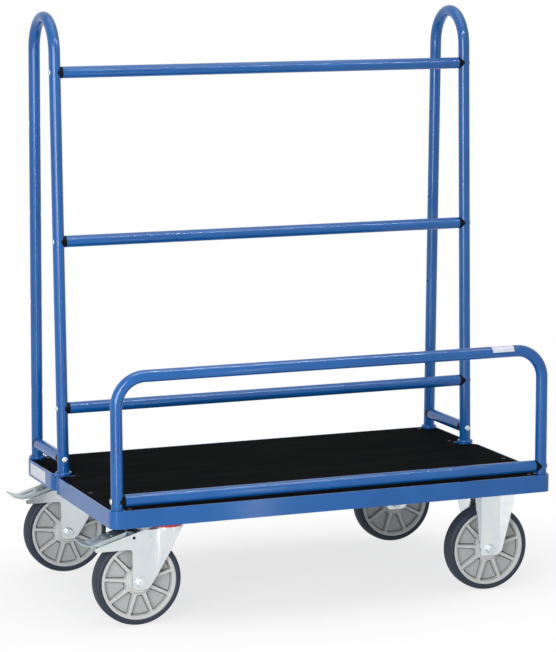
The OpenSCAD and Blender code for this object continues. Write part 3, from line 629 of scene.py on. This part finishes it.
class Truck:
    """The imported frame, and how pieces join it."""

    def __init__(self, frame: dict[str, object], finishes: Finishes) -> None:
        """Keeps the loaded frame and the finishes."""
        self.nodes: dict[str, Piece] = frame["nodes"]
        self.slots = {part["node"]: part["material_slot"] for part in frame["record"]["subparts"]}
        self.finishes = finishes

    def settle(self, piece: Piece, body: str, slot: str, finish: Material) -> None:
        """Gives a piece its finish and body."""
        piece.data.materials.clear()
        piece.data.materials.append(finish)
        for face in piece.data.polygons:
            face.material_index = 0
        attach(piece, body)
        LOG.info("%s: %d faces on %s", piece.name, len(piece.data.polygons), body)

    def stand_in(self, piece: Piece, node: str, finish: Material | None = None) -> None:
        """Settles a piece for a CAD node, on the node's body and with its slot's finish unless another is
        given, and hides the node.

        Args:
            piece: The finished piece.
            node: The CAD node that it replaces.
            finish: A finish other than the slot's own.
        """
        slot = self.slots[node]
        self.settle(piece, self.nodes[node]["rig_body"], slot, finish or self.finishes.by_slot[slot])
        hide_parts(node)

    def cleaned(self, node: str, name: str) -> Piece:
        """Returns a free copy of a CAD node with its loose triangles merged into whole faces."""
        Bench.hold(self.nodes[node])
        bpy.ops.object.duplicate(linked=False)
        piece = bpy.context.active_object
        piece.parent = None
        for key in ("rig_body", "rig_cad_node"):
            del piece[key]
        Bench.named(name)
        if piece.data.has_custom_normals:
            bpy.ops.mesh.customdata_custom_splitnormals_clear()
        Bench.edit(piece)
        bpy.ops.mesh.remove_doubles(threshold=0.002 * MM)
        bpy.ops.mesh.dissolve_limited(angle_limit=math.radians(0.5), delimit=set())
        Bench.clear()
        return piece

    def refined(
        self, node: str, edge: float, limit: float = 35.0, finish: Material | None = None
    ) -> Piece:
        """Returns a cleaned copy of a CAD node with rounded edges, settled in the node's place."""
        piece = self.cleaned(node, node + "_finished")
        if edge > 0:
            Bench.rounded(piece, edge, limit=limit)
        Bench.shaded(piece)
        self.stand_in(piece, node, finish)
        return piece

    def dress_rest(self) -> None:
        """Gives every CAD node its slot's finish, for those that stay in sight."""
        for node, piece in self.nodes.items():
            piece.data.materials.clear()
            piece.data.materials.append(self.finishes.by_slot[self.slots[node]])


@dataclass
class Platform:
    """The welded frame, its sleeves and the deck board with its screws."""

    truck: Truck
    edge: float = 0.7
    sleeve_edge: float = 0.4
    board_edge: float = 0.5
    deck_z: float = 270.0
    screws: Sequence[Pair] = (
        (48.0, 20.0), (20.0, 210.0), (46.0, 456.0), (48.0, 630.0),
        (1022.0, 20.0), (1050.0, 210.0), (1024.0, 456.0), (1022.0, 630.0),
    )
    screw_profile: Sequence[Pair] = ((1.9, -14.5), (2.0, -3.0), (4.7, -0.3), (4.4, 0.0))
    screw_land: float = 1.6
    recess_slope: float = 0.9
    recess_depth: float = 0.6

    def build(self) -> None:
        """Dresses the frame sections, the rails and the board."""
        for node in ("front_frame", "rear_frame", "left_cross_member", "right_cross_member", "middle_rail"):
            self.truck.refined(node, self.edge)
        self.truck.refined("tube_sleeves", self.sleeve_edge)
        self.truck.refined("deck_board", self.board_edge)
        self.deck_screws()

    def deck_screws(self) -> None:
        """Models one countersunk screw with a recess in its head and copies it along the deck's edge."""
        places = [at(x, y, self.deck_z) for x, y in self.screws]
        screw = Bench.turned("deck_screw", self.screw_profile, places[0], Axis.Z, sides=24)
        Bench.pick_faces(screw, lambda face: face.normal.z > 0.99 and (face.center - places[0]).length < MM)
        bpy.ops.mesh.inset(thickness=self.screw_land * MM, depth=0)
        bpy.ops.mesh.inset(thickness=self.recess_slope * MM, depth=-self.recess_depth * MM)
        Bench.clear()
        Bench.shaded(screw, angle=30)
        self.truck.stand_in(Bench.repeated(screw, places, "deck_screw_heads"), "deck_screws")


@dataclass
class Tubework:
    """The uprights, struts, crossbars and hoop, with their saddles and bolts."""

    truck: Truck
    tube_r: float = 13.5
    wall: float = 2.0
    inset: float = 21.0
    hoop_inset: float = 19.0
    hoop_z: float = 562.0
    hoop_bend_r: float = 66.0
    spigot_low: float = 232.0
    length: float = 1070.0
    bar_gap: float = 5.0
    middle_y: float = 525.0
    spread: float = 210.0
    bend_z: float = 274.0
    lean: float = math.radians(1.481)
    bar_heights: Sequence[float] = (426.0, 812.0, 1198.0)
    strut_z: float = 308.0
    base_bar_z: float = 289.0
    bar_cover: float = 1.5
    bar_swell: float = 0.05
    bar_ease: float = 0.4
    saddle_edge: float = 0.6
    collar_r: float = 19.0
    collar_z: Pair = (270.0, 278.0)
    collar_gap: float = 0.2
    collar_ease: float = 0.5
    collar_foot: float = 0.3
    weld: Sequence[Pair] = ((0.0, 2.5), (0.5, 1.0), (1.6, 0.2), (2.6, 0.0))
    dome_r: float = 6.5
    dome_h: float = 2.6
    dome_side: float = 1.5
    dome_shares: Sequence[float] = (0.8, 0.62, 0.44, 0.26, 0.1)
    dome_power: float = 2.2
    dome_fill: float = 1.05
    socket_r: float = 2.7
    socket_depth: float = 1.4
    socket_tip: Pair = (0.6, 0.9)
    shank: Sequence[Pair] = (
        (3.6, 44.5), (4.0, 43.9), (4.0, 0.0), (6.4, 0.0), (6.5, -0.2), (6.5, -1.0), (6.2, -1.5),
    )
    dimple_seat: float = 1.21

    def leg_y(self, side: int, z: float) -> float:
        """Returns Y of a leg's axis at a height; side -1 is the front leg."""
        return self.middle_y + side * (self.spread / 2 - (z - self.bend_z) * math.tan(self.lean))

    def build(self) -> None:
        """Dresses every tube and what holds it."""
        for node in ("left_upright", "right_upright"):
            self.truck.refined(node, 0.0)
        for node in ("strut_saddles", "crossbar_saddles", "base_bar_saddles"):
            self.truck.refined(node, self.saddle_edge, limit=40)
        self.hoop()
        self.bars()
        self.collars()
        self.bolts()

    def hoop(self) -> None:
        """Bends the front hoop from one tube."""
        top = self.hoop_z - self.hoop_bend_r
        inset = self.hoop_inset
        near = inset + self.hoop_bend_r
        far = self.length - near
        rise = Vector((0, 0, top - self.spigot_low)) * MM
        run = Vector((far - near, 0, 0)) * MM
        piece = Bench.ring("front_hoop_tube", self.tube_r, at(inset, inset, self.spigot_low), Axis.Z)
        Bench.pull(rise)
        for x, step in ((near, run), (far, -rise)):
            Bench.bend(at(x, inset, top), -Axis.Y.vector)
            Bench.pull(step)
        Bench.walled(piece, self.wall)
        Bench.shaded(piece)
        self.truck.stand_in(piece, "front_hoop")

    def bar(self, name: str, start: Vector, length: float, axis: Axis) -> Piece:
        """Returns a straight tube from a start in metres, with eased ends that reach over the saddles."""
        outer = self.tube_r + self.bar_swell
        inner = self.tube_r - self.wall
        ease = self.bar_ease
        end = length + 2 * self.bar_cover
        profile = [(inner, 0.0), (outer - ease, 0.0), (outer, ease)]
        profile += [(outer, end - ease), (outer - ease, end), (inner, end)]
        piece = Bench.turned(name, profile, start - axis.vector * self.bar_cover * MM, axis, closed=True)
        Bench.shaded(piece)
        return piece

    def bars(self) -> None:
        """Cuts the crossbars, struts and base bar."""
        start = self.inset + self.tube_r + self.bar_gap
        low = self.bar_heights[0]
        low_y = self.leg_y(-1, low)
        first = self.bar("bottom_crossbar_tube", at(start, low_y, low), self.length - 2 * start, Axis.X)
        for node, z in zip(("middle_crossbar", "top_crossbar"), self.bar_heights[1:]):
            step = Vector((0, self.leg_y(-1, z) - low_y, z - low)) * MM
            self.truck.stand_in(Bench.copy(first, node + "_tube", Matrix.Translation(step)), node)
        self.truck.stand_in(first, "bottom_crossbar")
        near = self.leg_y(-1, self.strut_z) + self.tube_r + self.bar_gap
        place = at(self.inset, near, self.strut_z)
        strut = self.bar("left_strut_tube", place, 2 * (self.middle_y - near), Axis.Y)
        step = Vector((self.length - 2 * self.inset, 0, 0)) * MM
        other = Bench.copy(strut, "right_strut_tube", Matrix.Translation(step))
        self.truck.stand_in(strut, "left_strut")
        self.truck.stand_in(other, "right_strut")
        start = self.hoop_inset + self.tube_r + self.bar_gap
        place = at(start, self.hoop_inset, self.base_bar_z)
        self.truck.stand_in(self.bar("base_bar_tube", place, self.length - 2 * start, Axis.X), "base_bar")

    def collars(self) -> None:
        """Turns the collar with its weld at one leg's foot and copies it to the others."""
        low, high = self.collar_z
        outer = self.collar_r
        inner = self.tube_r + self.collar_gap
        profile = [(inner, low), (outer - self.collar_foot, low), (outer, low + self.collar_ease)]
        profile += [(outer - inwards, high - down) for inwards, down in self.weld]
        profile += [(inner + self.collar_ease, high), (inner, high - self.collar_ease)]
        columns = (self.inset, self.length - self.inset)
        feet = [at(x, self.middle_y + side * self.spread / 2, 0.0) for x in columns for side in (-1, 1)]
        collar = Bench.turned("foot_collar", profile, feet[0], Axis.Z, sides=64, closed=True)
        Bench.shaded(collar)
        self.truck.stand_in(Bench.repeated(collar, feet, "foot_collars_turned"), "foot_collars")

    def dome_bolt(self) -> Piece:
        """Returns a dome-headed bolt along +X whose head's seat is at the world's origin."""
        origin = Vector((0, 0, 0))
        profile = list(self.shank)
        for share in self.dome_shares:
            sunk = (self.dome_h - self.dome_side) * share ** self.dome_power * self.dome_fill
            profile.append((self.dome_r * share, sunk - self.dome_h))
        bolt = Bench.turned("dome_bolt", profile, origin, Axis.X, sides=36)
        Bench.shaded(bolt)
        floor = self.socket_depth - self.dome_h
        tip_r, tip_l = self.socket_tip
        above = -self.dome_h - 1.0
        key_profile = [(self.socket_r, above), (self.socket_r, floor), (tip_r, floor + tip_l)]
        Bench.cut(bolt, Bench.turned("socket_key", key_profile, origin, Axis.X, sides=6))
        return bolt

    def ends(self, seat: float, y: float, z: float) -> list[Matrix]:
        """Returns the places of the bolts at both ends of a bar along X, with their heads outside."""
        far = Matrix.Translation(at(self.length - seat, y, z)) @ Matrix.Rotation(math.pi, 4, "Z")
        return [Matrix.Translation(at(seat, y, z)), far]

    def bolts(self) -> None:
        """Copies the dome-headed bolt to every bar end."""
        bolt = self.dome_bolt()
        seat = self.inset - self.tube_r + self.dimple_seat
        groups: dict[str, list[Matrix]] = {"crossbar_bolts": [], "strut_bolts": []}
        for z in self.bar_heights:
            groups["crossbar_bolts"] += self.ends(seat, self.leg_y(-1, z), z)
        for x in (self.inset, self.length - self.inset):
            for side in (-1, 1):
                y = self.leg_y(side, self.strut_z) + side * self.tube_r
                turn = Matrix.Rotation(-side * math.pi / 2, 4, "Z")
                groups["strut_bolts"].append(Matrix.Translation(at(x, y, self.strut_z)) @ turn)
        groups["base_bar_bolts"] = self.ends(self.hoop_inset - self.tube_r, self.hoop_inset, self.base_bar_z)
        for node, places in groups.items():
            made = [Bench.copy(bolt, "dome_bolt", place) for place in places]
            self.truck.stand_in(Bench.joined(made, node + "_domed"), node, self.truck.finishes.dull_zinc)
        bpy.data.objects.remove(bolt)


@dataclass
class Wheels:
    """The tyres and spoked rims of the four wheels."""

    truck: Truck
    half_tyre: Sequence[Pair] = (
        (86.5, 18.2), (87.0, 18.9), (88.7, 19.2), (89.5, 19.8), (92.5, 20.0), (94.5, 19.5),
        (96.3, 18.2), (97.9, 16.2), (99.0, 13.8), (99.6, 11.0), (99.85, 7.0), (100.0, 2.5),
    )
    tongue_r: float = 80.6
    pocket_face: float = 8.0
    least_floor: float = 0.0005
    widening: float = 1.08
    draft: float = 0.93
    rim_edge: float = 0.7
    groove: float = 1.3
    groove_depth: float = 1.8
    groove_slope: float = 0.15
    centres: dict[str, Point] = field(default_factory=lambda: {
        "left_front": (75.0, 59.0, 100.0),
        "left_rear": (75.0, 591.0, 100.0),
        "right_front": (929.0, 59.0, 100.0),
        "right_rear": (929.0, 591.0, 100.0),
    })

    def build(self) -> None:
        """Models the front left wheel and copies it to the other corners."""
        home = at(*self.centres["left_front"])
        tyre = self.tyre(home)
        rim = self.rim()
        for corner, place in self.centres.items():
            step = Matrix.Translation(at(*place) - home)
            first = corner == "left_front"
            own_tyre = tyre if first else Bench.copy(tyre, corner + "_tyre_moulded", step)
            own_rim = rim if first else Bench.copy(rim, corner + "_rim_moulded", step)
            rubber = Rubber(corner + "_rubber", at(*place)).build()
            # Each rim's material has painted shade in its pockets and a painted shadow in its grooves.
            casting = RimCasting(corner + "_rim_painted_shade", at(*place)).build()
            self.truck.stand_in(own_tyre, corner + "_tyre", rubber)
            self.truck.stand_in(own_rim, corner + "_rim", casting)

    def tyre(self, centre: Vector) -> Piece:
        """Returns the solid tyre with a crowned tread, round shoulders and a bead step on each wall."""
        far_half = [(radius, -along) for radius, along in reversed(self.half_tyre)]
        profile = [*self.half_tyre, *far_half, (self.tongue_r, 0.0)]
        piece = Bench.turned("left_front_tyre_moulded", profile, centre, Axis.Y, sides=128, closed=True)
        Bench.shaded(piece, angle=50)
        return piece

    def floors(self, piece: Piece) -> list[Vector]:
        """Returns the centres of the rim's pocket floors."""
        y_mid = at(*self.centres["left_front"]).y
        reach = self.pocket_face * MM
        return [
            face.center.copy()
            for face in piece.data.polygons
            if face.area > self.least_floor and abs(abs(face.center.y - y_mid) - reach) < 0.2 * MM
        ]

    def pick_floor(self, piece: Piece, centre: Vector) -> None:
        """Selects the pocket floor at a centre."""
        near = 0.5 * MM
        least = self.least_floor
        Bench.pick_faces(piece, lambda face: (face.center - centre).length < near and face.area > least)

    def rim(self) -> Piece:
        """Returns the rim with wider, drafted pockets, eased edges and a groove round each pocket floor."""
        piece = self.truck.cleaned("left_front_rim", "left_front_rim_moulded")
        hub = at(*self.centres["left_front"])
        for centre in self.floors(piece):
            self.pick_floor(piece, centre)
            bpy.ops.mesh.select_more(use_face_step=True)
            outward = Vector((centre.x - hub.x, 0.0, centre.z - hub.z)).normalized()
            sideways = outward.cross(Axis.Y.vector)
            bpy.ops.transform.resize(
                value=(1.0, 1.0, self.widening), constraint_axis=(False, False, True), orient_type="LOCAL",
                orient_matrix=(outward, Axis.Y.vector, sideways), orient_matrix_type="LOCAL",
                center_override=centre,
            )
            Bench.clear()
            self.pick_floor(piece, centre)
            bpy.ops.transform.resize(value=(self.draft, 1.0, self.draft), center_override=centre)
            Bench.clear()
        Bench.rounded(piece, self.rim_edge, segments=2, limit=40)
        for centre in self.floors(piece):
            self.pick_floor(piece, centre)
            bpy.ops.mesh.inset(thickness=self.groove_slope * MM, depth=-self.groove_depth * MM)
            bpy.ops.mesh.inset(thickness=self.groove * MM, depth=0.0)
            bpy.ops.mesh.inset(thickness=self.groove_slope * MM, depth=self.groove_depth * MM)
            Bench.clear()
        Bench.shaded(piece, angle=30)
        return piece


@dataclass
class Casters:
    """The swivel casters with their brakes, and the fixed casters."""

    truck: Truck
    pitch: float = 532.0
    press_edge: float = 0.7
    plate_edge: float = 0.5
    shoe_edge: float = 0.4
    axle_edge: float = 0.3
    plates_x: Pair = (145.0, 929.0)
    plates_y: Pair = (59.0, 591.0)
    holes: Pair = (52.5, 40.0)
    bolt_seat: float = 233.0
    bolt_profile: Sequence[Pair] = (
        (5.0, 16.4), (5.0, 0.0), (7.9, 0.0), (8.3, -0.5), (9.2, -0.5), (9.2, -5.3),
        (7.912, -6.4), (4.6, -6.4), (4.232, -6.0),
    )
    seal_profile: Sequence[Pair] = (
        (34.0, 220.0), (36.9, 220.0), (37.5, 220.6), (37.5, 223.2), (36.4, 223.9),
        (36.4, 229.6), (37.3, 230.4), (37.3, 231.8), (36.6, 232.6), (34.0, 232.6),
    )

    @property
    def to_rear(self) -> Matrix:
        """The way from a front caster to the rear one."""
        return Matrix.Translation(Vector((0, self.pitch * MM, 0)))

    def build(self) -> None:
        """Dresses the front caster of each pair and copies it to the rear."""
        dull = self.truck.finishes.dull_zinc
        # The pedals take the darker zinc with painted shade.
        tread = self.truck.finishes.shaded_pedal_zinc
        self.pair("left", "plate", self.plate_edge)
        self.pair("left", "fork", self.press_edge)
        self.pair("left", "pedal", self.plate_edge, tread)
        self.pair("left", "shoe", self.shoe_edge)
        self.pair("left", "axle", self.axle_edge, dull)
        self.pair("right", "bracket", self.press_edge)
        self.truck.refined("fixed_axles", self.axle_edge, finish=dull)
        self.seals()
        self.plate_bolts()

    def pair(self, side: str, part: str, edge: float, finish: Material | None = None) -> None:
        """Dresses one part of a side's front caster and copies it to the rear one."""
        piece = self.truck.refined(f"{side}_front_{part}", edge, finish=finish)
        node = f"{side}_rear_{part}"
        other = Bench.copy(piece, node + "_finished", self.to_rear)
        other.parent = None
        for key in list(other.keys()):
            if key.startswith("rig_"):
                del other[key]
        self.truck.stand_in(other, node, finish)

    def seals(self) -> None:
        """Turns the red dust seal with its lip."""
        name = "left_front_seal_moulded"
        centre = at(self.plates_x[0], self.plates_y[0], 0.0)
        seal = Bench.turned(name, self.seal_profile, centre, Axis.Z, sides=64, closed=True)
        Bench.shaded(seal)
        other = Bench.copy(seal, "left_rear_seal_moulded", self.to_rear)
        self.truck.stand_in(seal, "left_front_seal")
        self.truck.stand_in(other, "left_rear_seal")

    def plate_bolts(self) -> None:
        """Models one hex bolt of the caster plates with its chamfer and copies it to every hole."""
        across, along = self.holes
        corners = [(-across, -along), (-across, along), (across, -along), (across, along)]
        middles = [(x, y) for x in self.plates_x for y in self.plates_y]
        places = [at(x + dx, y + dy, self.bolt_seat) for x, y in middles for dx, dy in corners]
        bolt = Bench.turned("plate_bolt", self.bolt_profile, places[0], Axis.Z, sides=6)
        Bench.shaded(bolt, angle=25)
        self.truck.stand_in(Bench.repeated(bolt, places, "caster_bolts_hex"), "caster_bolts")


@dataclass
class Labels:
    """Two blank white labels: one round the hoop's top, one on the left end face."""

    truck: Truck
    lift: float = 0.12
    thickness: float = 0.1
    hoop_axis: Pair = (19.0, 562.0)
    tube_r: float = 13.5
    hoop_span: Pair = (919.5, 973.5)
    hoop_arc: Pair = (4.0, 98.0)
    hoop_steps: int = 12
    end_span: Pair = (496.0, 616.0)
    end_heights: Pair = (236.0, 264.0)
    corner_r: float = 2.5

    def build(self) -> None:
        """Makes both labels."""
        self.hoop_label()
        self.end_label()

    def stick(self, piece: Piece) -> None:
        """Gives a label its thickness and finish and lays it on the chassis."""
        Bench.clear()
        Bench.modify(piece, "SOLIDIFY", thickness=self.thickness * MM, offset=0.0)
        Bench.shaded(piece)
        self.truck.settle(piece, "chassis", "frame_paint", self.truck.finishes.label)

    def hoop_label(self) -> None:
        """Wraps a strip of vinyl round the hoop's front and top."""
        start, end = self.hoop_span
        centre = at(start, *self.hoop_axis)
        piece = Bench.ring("hoop_label", self.tube_r + self.lift, centre, Axis.X, sides=144)
        low, high = (math.radians(angle) for angle in self.hoop_arc)
        bpy.ops.mesh.select_all(action="DESELECT")
        bpy.ops.object.mode_set(mode="OBJECT")
        for vertex in piece.data.vertices:
            off = vertex.co - centre
            angle = math.atan2(off.z, -off.y)
            vertex.select = not low <= angle <= high
        bpy.ops.object.mode_set(mode="EDIT")
        bpy.ops.mesh.delete(type="VERT")
        bpy.ops.mesh.select_all(action="SELECT")
        for _ in range(self.hoop_steps):
            Bench.pull(Vector(((end - start) / self.hoop_steps, 0, 0)) * MM)
        bpy.ops.mesh.select_all(action="SELECT")
        bpy.ops.mesh.normals_make_consistent(inside=False)
        self.stick(piece)

    def end_label(self) -> None:
        """Lays a flat strip of vinyl on the end face."""
        near, far = self.end_span
        low, high = self.end_heights
        middle = at(-self.lift, (near + far) / 2, (low + high) / 2)
        Bench.clear()
        bpy.ops.mesh.primitive_plane_add(size=1.0, location=middle, rotation=(0, -math.pi / 2, 0))
        bpy.context.active_object.scale = ((high - low) * MM, (far - near) * MM, 1.0)
        piece = Bench.named("end_label")
        Bench.edit(piece)
        bpy.ops.mesh.bevel(offset=self.corner_r * MM, segments=5, affect="VERTICES")
        self.stick(piece)


class Hang(Enum):
    """How a lamp hangs: a soft one faces the truck, and the thin strips show only in gloss."""

    SOFT = "soft"
    UPRIGHT_STRIP = "upright strip"
    LEVEL_STRIP = "level strip"


@dataclass(frozen=True)
class Lamp:
    """A rectangular area lamp, in metres and watts."""

    name: str
    place: Point
    size: Pair
    power: float
    hang: Hang = Hang.SOFT
    aim: Point = (0.0, 0.0, 0.55)

    def turn(self) -> Euler:
        """Returns the lamp's rotation."""
        if self.hang is Hang.LEVEL_STRIP:
            return Euler((0.0, 0.0, math.pi / 2))
        x, y, _ = self.place
        way = Vector(self.aim) - Vector(self.place) if self.hang is Hang.SOFT else Vector((-x, -y, 0.0))
        return way.to_track_quat("-Z", "Y").to_euler()

    def build(self) -> None:
        """Hangs the lamp."""
        Bench.clear()
        bpy.ops.object.light_add(type="AREA", location=self.place)
        lamp = bpy.context.active_object
        lamp.name = self.name
        lamp.data.shape = "RECTANGLE"
        lamp.data.size, lamp.data.size_y = self.size
        lamp.data.energy = self.power
        lamp.rotation_euler = self.turn()
        if self.hang is not Hang.SOFT:
            lamp.visible_camera = False
            lamp.visible_diffuse = False


@dataclass
class Studio:
    """Pale floor, white surround, soft lamps and the camera."""

    eye: Point = (-2.2922, -5.8076, 1.5552)
    azimuth: float = math.radians(-21.649)
    elevation: float = math.radians(8.66)
    roll: float = math.radians(-0.117)
    focal_px: float = 2710.8
    image_height: int = 652
    sensor: float = 36.0
    surround: float = 0.34
    floor_colour: Colour = (0.95, 0.95, 0.95)
    floor_share: float = 0.74
    floor_half: float = 200.0
    fade: Pair = (0.27, 0.74)
    fade_shape: Point = (0.62, 1.0, 1.0)
    lamps: Sequence[Lamp] = (
        Lamp("key", (-2.7, -3.0, 1.5), (2.0, 2.0), 92.0),
        Lamp("top", (0.0, -0.3, 4.2), (3.5, 3.5), 62.0),
        Lamp("fill", (3.0, -4.4, 2.2), (2.5, 2.5), 6.0),
        Lamp("tall_strip", (-1.13, -1.57, 0.9), (0.06, 1.75), 19.0, Hang.UPRIGHT_STRIP),
        Lamp("low_strip", (0.1, -1.02, 0.31), (0.04, 0.6), 0.5, Hang.UPRIGHT_STRIP),
        Lamp("long_strip", (0.25, -0.55, 1.75), (0.03, 1.7), 14.0, Hang.LEVEL_STRIP),
    )

    def build(self) -> None:
        """Makes the floor, the world, the lamps and the camera."""
        bpy.context.scene.view_settings.view_transform = "Standard"
        self.floor()
        self.world()
        for lamp in self.lamps:
            lamp.build()
        self.camera()

    def seen(self, graph: Graph) -> Value:
        """Returns 1 on camera, glossy and transmission rays, and 0 on the others."""
        path = graph.node("ShaderNodeLightPath", {}, {})
        rays = [Value(graph, path.outputs[f"Is {kind} Ray"]) for kind in ("Camera", "Glossy", "Transmission")]
        return rays[0].most(rays[1]).most(rays[2])

    def floor(self) -> None:
        """Lays a wide pale floor that keeps the truck's shadow and fades to white."""
        Bench.clear()
        bpy.ops.mesh.primitive_plane_add(size=2 * self.floor_half, location=(0, 0, 0))
        floor = Bench.named("floor")
        look = Surface("pale_floor")
        look.set(base_color=self.floor_colour, roughness=0.9, specular_ior_level=0.1)
        away = look.reach(self.fade_shape).band(*self.fade)
        glow = look.node("ShaderNodeEmission", {}, {"Color": (1.0, 1.0, 1.0), "Strength": 1.0})
        share = self.seen(look) * (away * (1.0 - self.floor_share) + self.floor_share)
        shaders = {0: share, 1: look.shader.outputs[0], 2: glow.outputs[0]}
        mix = look.node("ShaderNodeMixShader", {}, shaders)
        look.feed(look.output.inputs["Surface"], mix.outputs[0])
        floor.data.materials.append(look.material)

    def world(self) -> None:
        """Surrounds the truck with white that lights it softly."""
        world = bpy.data.worlds.new("white_surround")
        bpy.context.scene.world = world
        world.use_nodes = True
        graph = Graph(world.node_tree)
        span = {"Value": self.seen(graph), "To Min": self.surround, "To Max": 1.0}
        strength = graph.node("ShaderNodeMapRange", {}, span)
        background = graph.tree.nodes["Background"]
        graph.feed(background.inputs["Color"], (1.0, 1.0, 1.0))
        graph.feed(background.inputs["Strength"], strength.outputs["Result"])

    def camera(self) -> None:
        """Sets the camera where the photograph was taken from."""
        level = math.cos(self.elevation)
        right = Vector((math.cos(self.azimuth), math.sin(self.azimuth), 0.0))
        ahead = Vector((-right.y * level, right.x * level, -math.sin(self.elevation)))
        up = right.cross(ahead)
        rolled_right = math.cos(self.roll) * right + math.sin(self.roll) * up
        rolled_up = -math.sin(self.roll) * right + math.cos(self.roll) * up
        turn = Matrix((rolled_right, rolled_up, -ahead)).transposed()
        Bench.clear()
        bpy.ops.object.camera_add(location=self.eye)
        camera = bpy.context.active_object
        camera.name = "photo_camera"
        camera.rotation_euler = turn.to_euler()
        camera.data.sensor_fit = "AUTO"
        camera.data.sensor_width = self.sensor
        camera.data.lens = self.focal_px / self.image_height * self.sensor
        camera.data.clip_end = 100.0
        bpy.context.scene.camera = camera


def main() -> None:
    """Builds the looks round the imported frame."""
    logging.basicConfig(level=logging.INFO, format="%(name)s: %(message)s")
    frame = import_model()
    finishes = Finishes()
    truck = Truck(frame, finishes)
    truck.dress_rest()
    for assembly in (Platform(truck), Tubework(truck), Wheels(truck), Casters(truck), Labels(truck)):
        assembly.build()
        LOG.info("%s dressed", type(assembly).__name__)
    Studio().build()


if __name__ == "__main__":
    main()
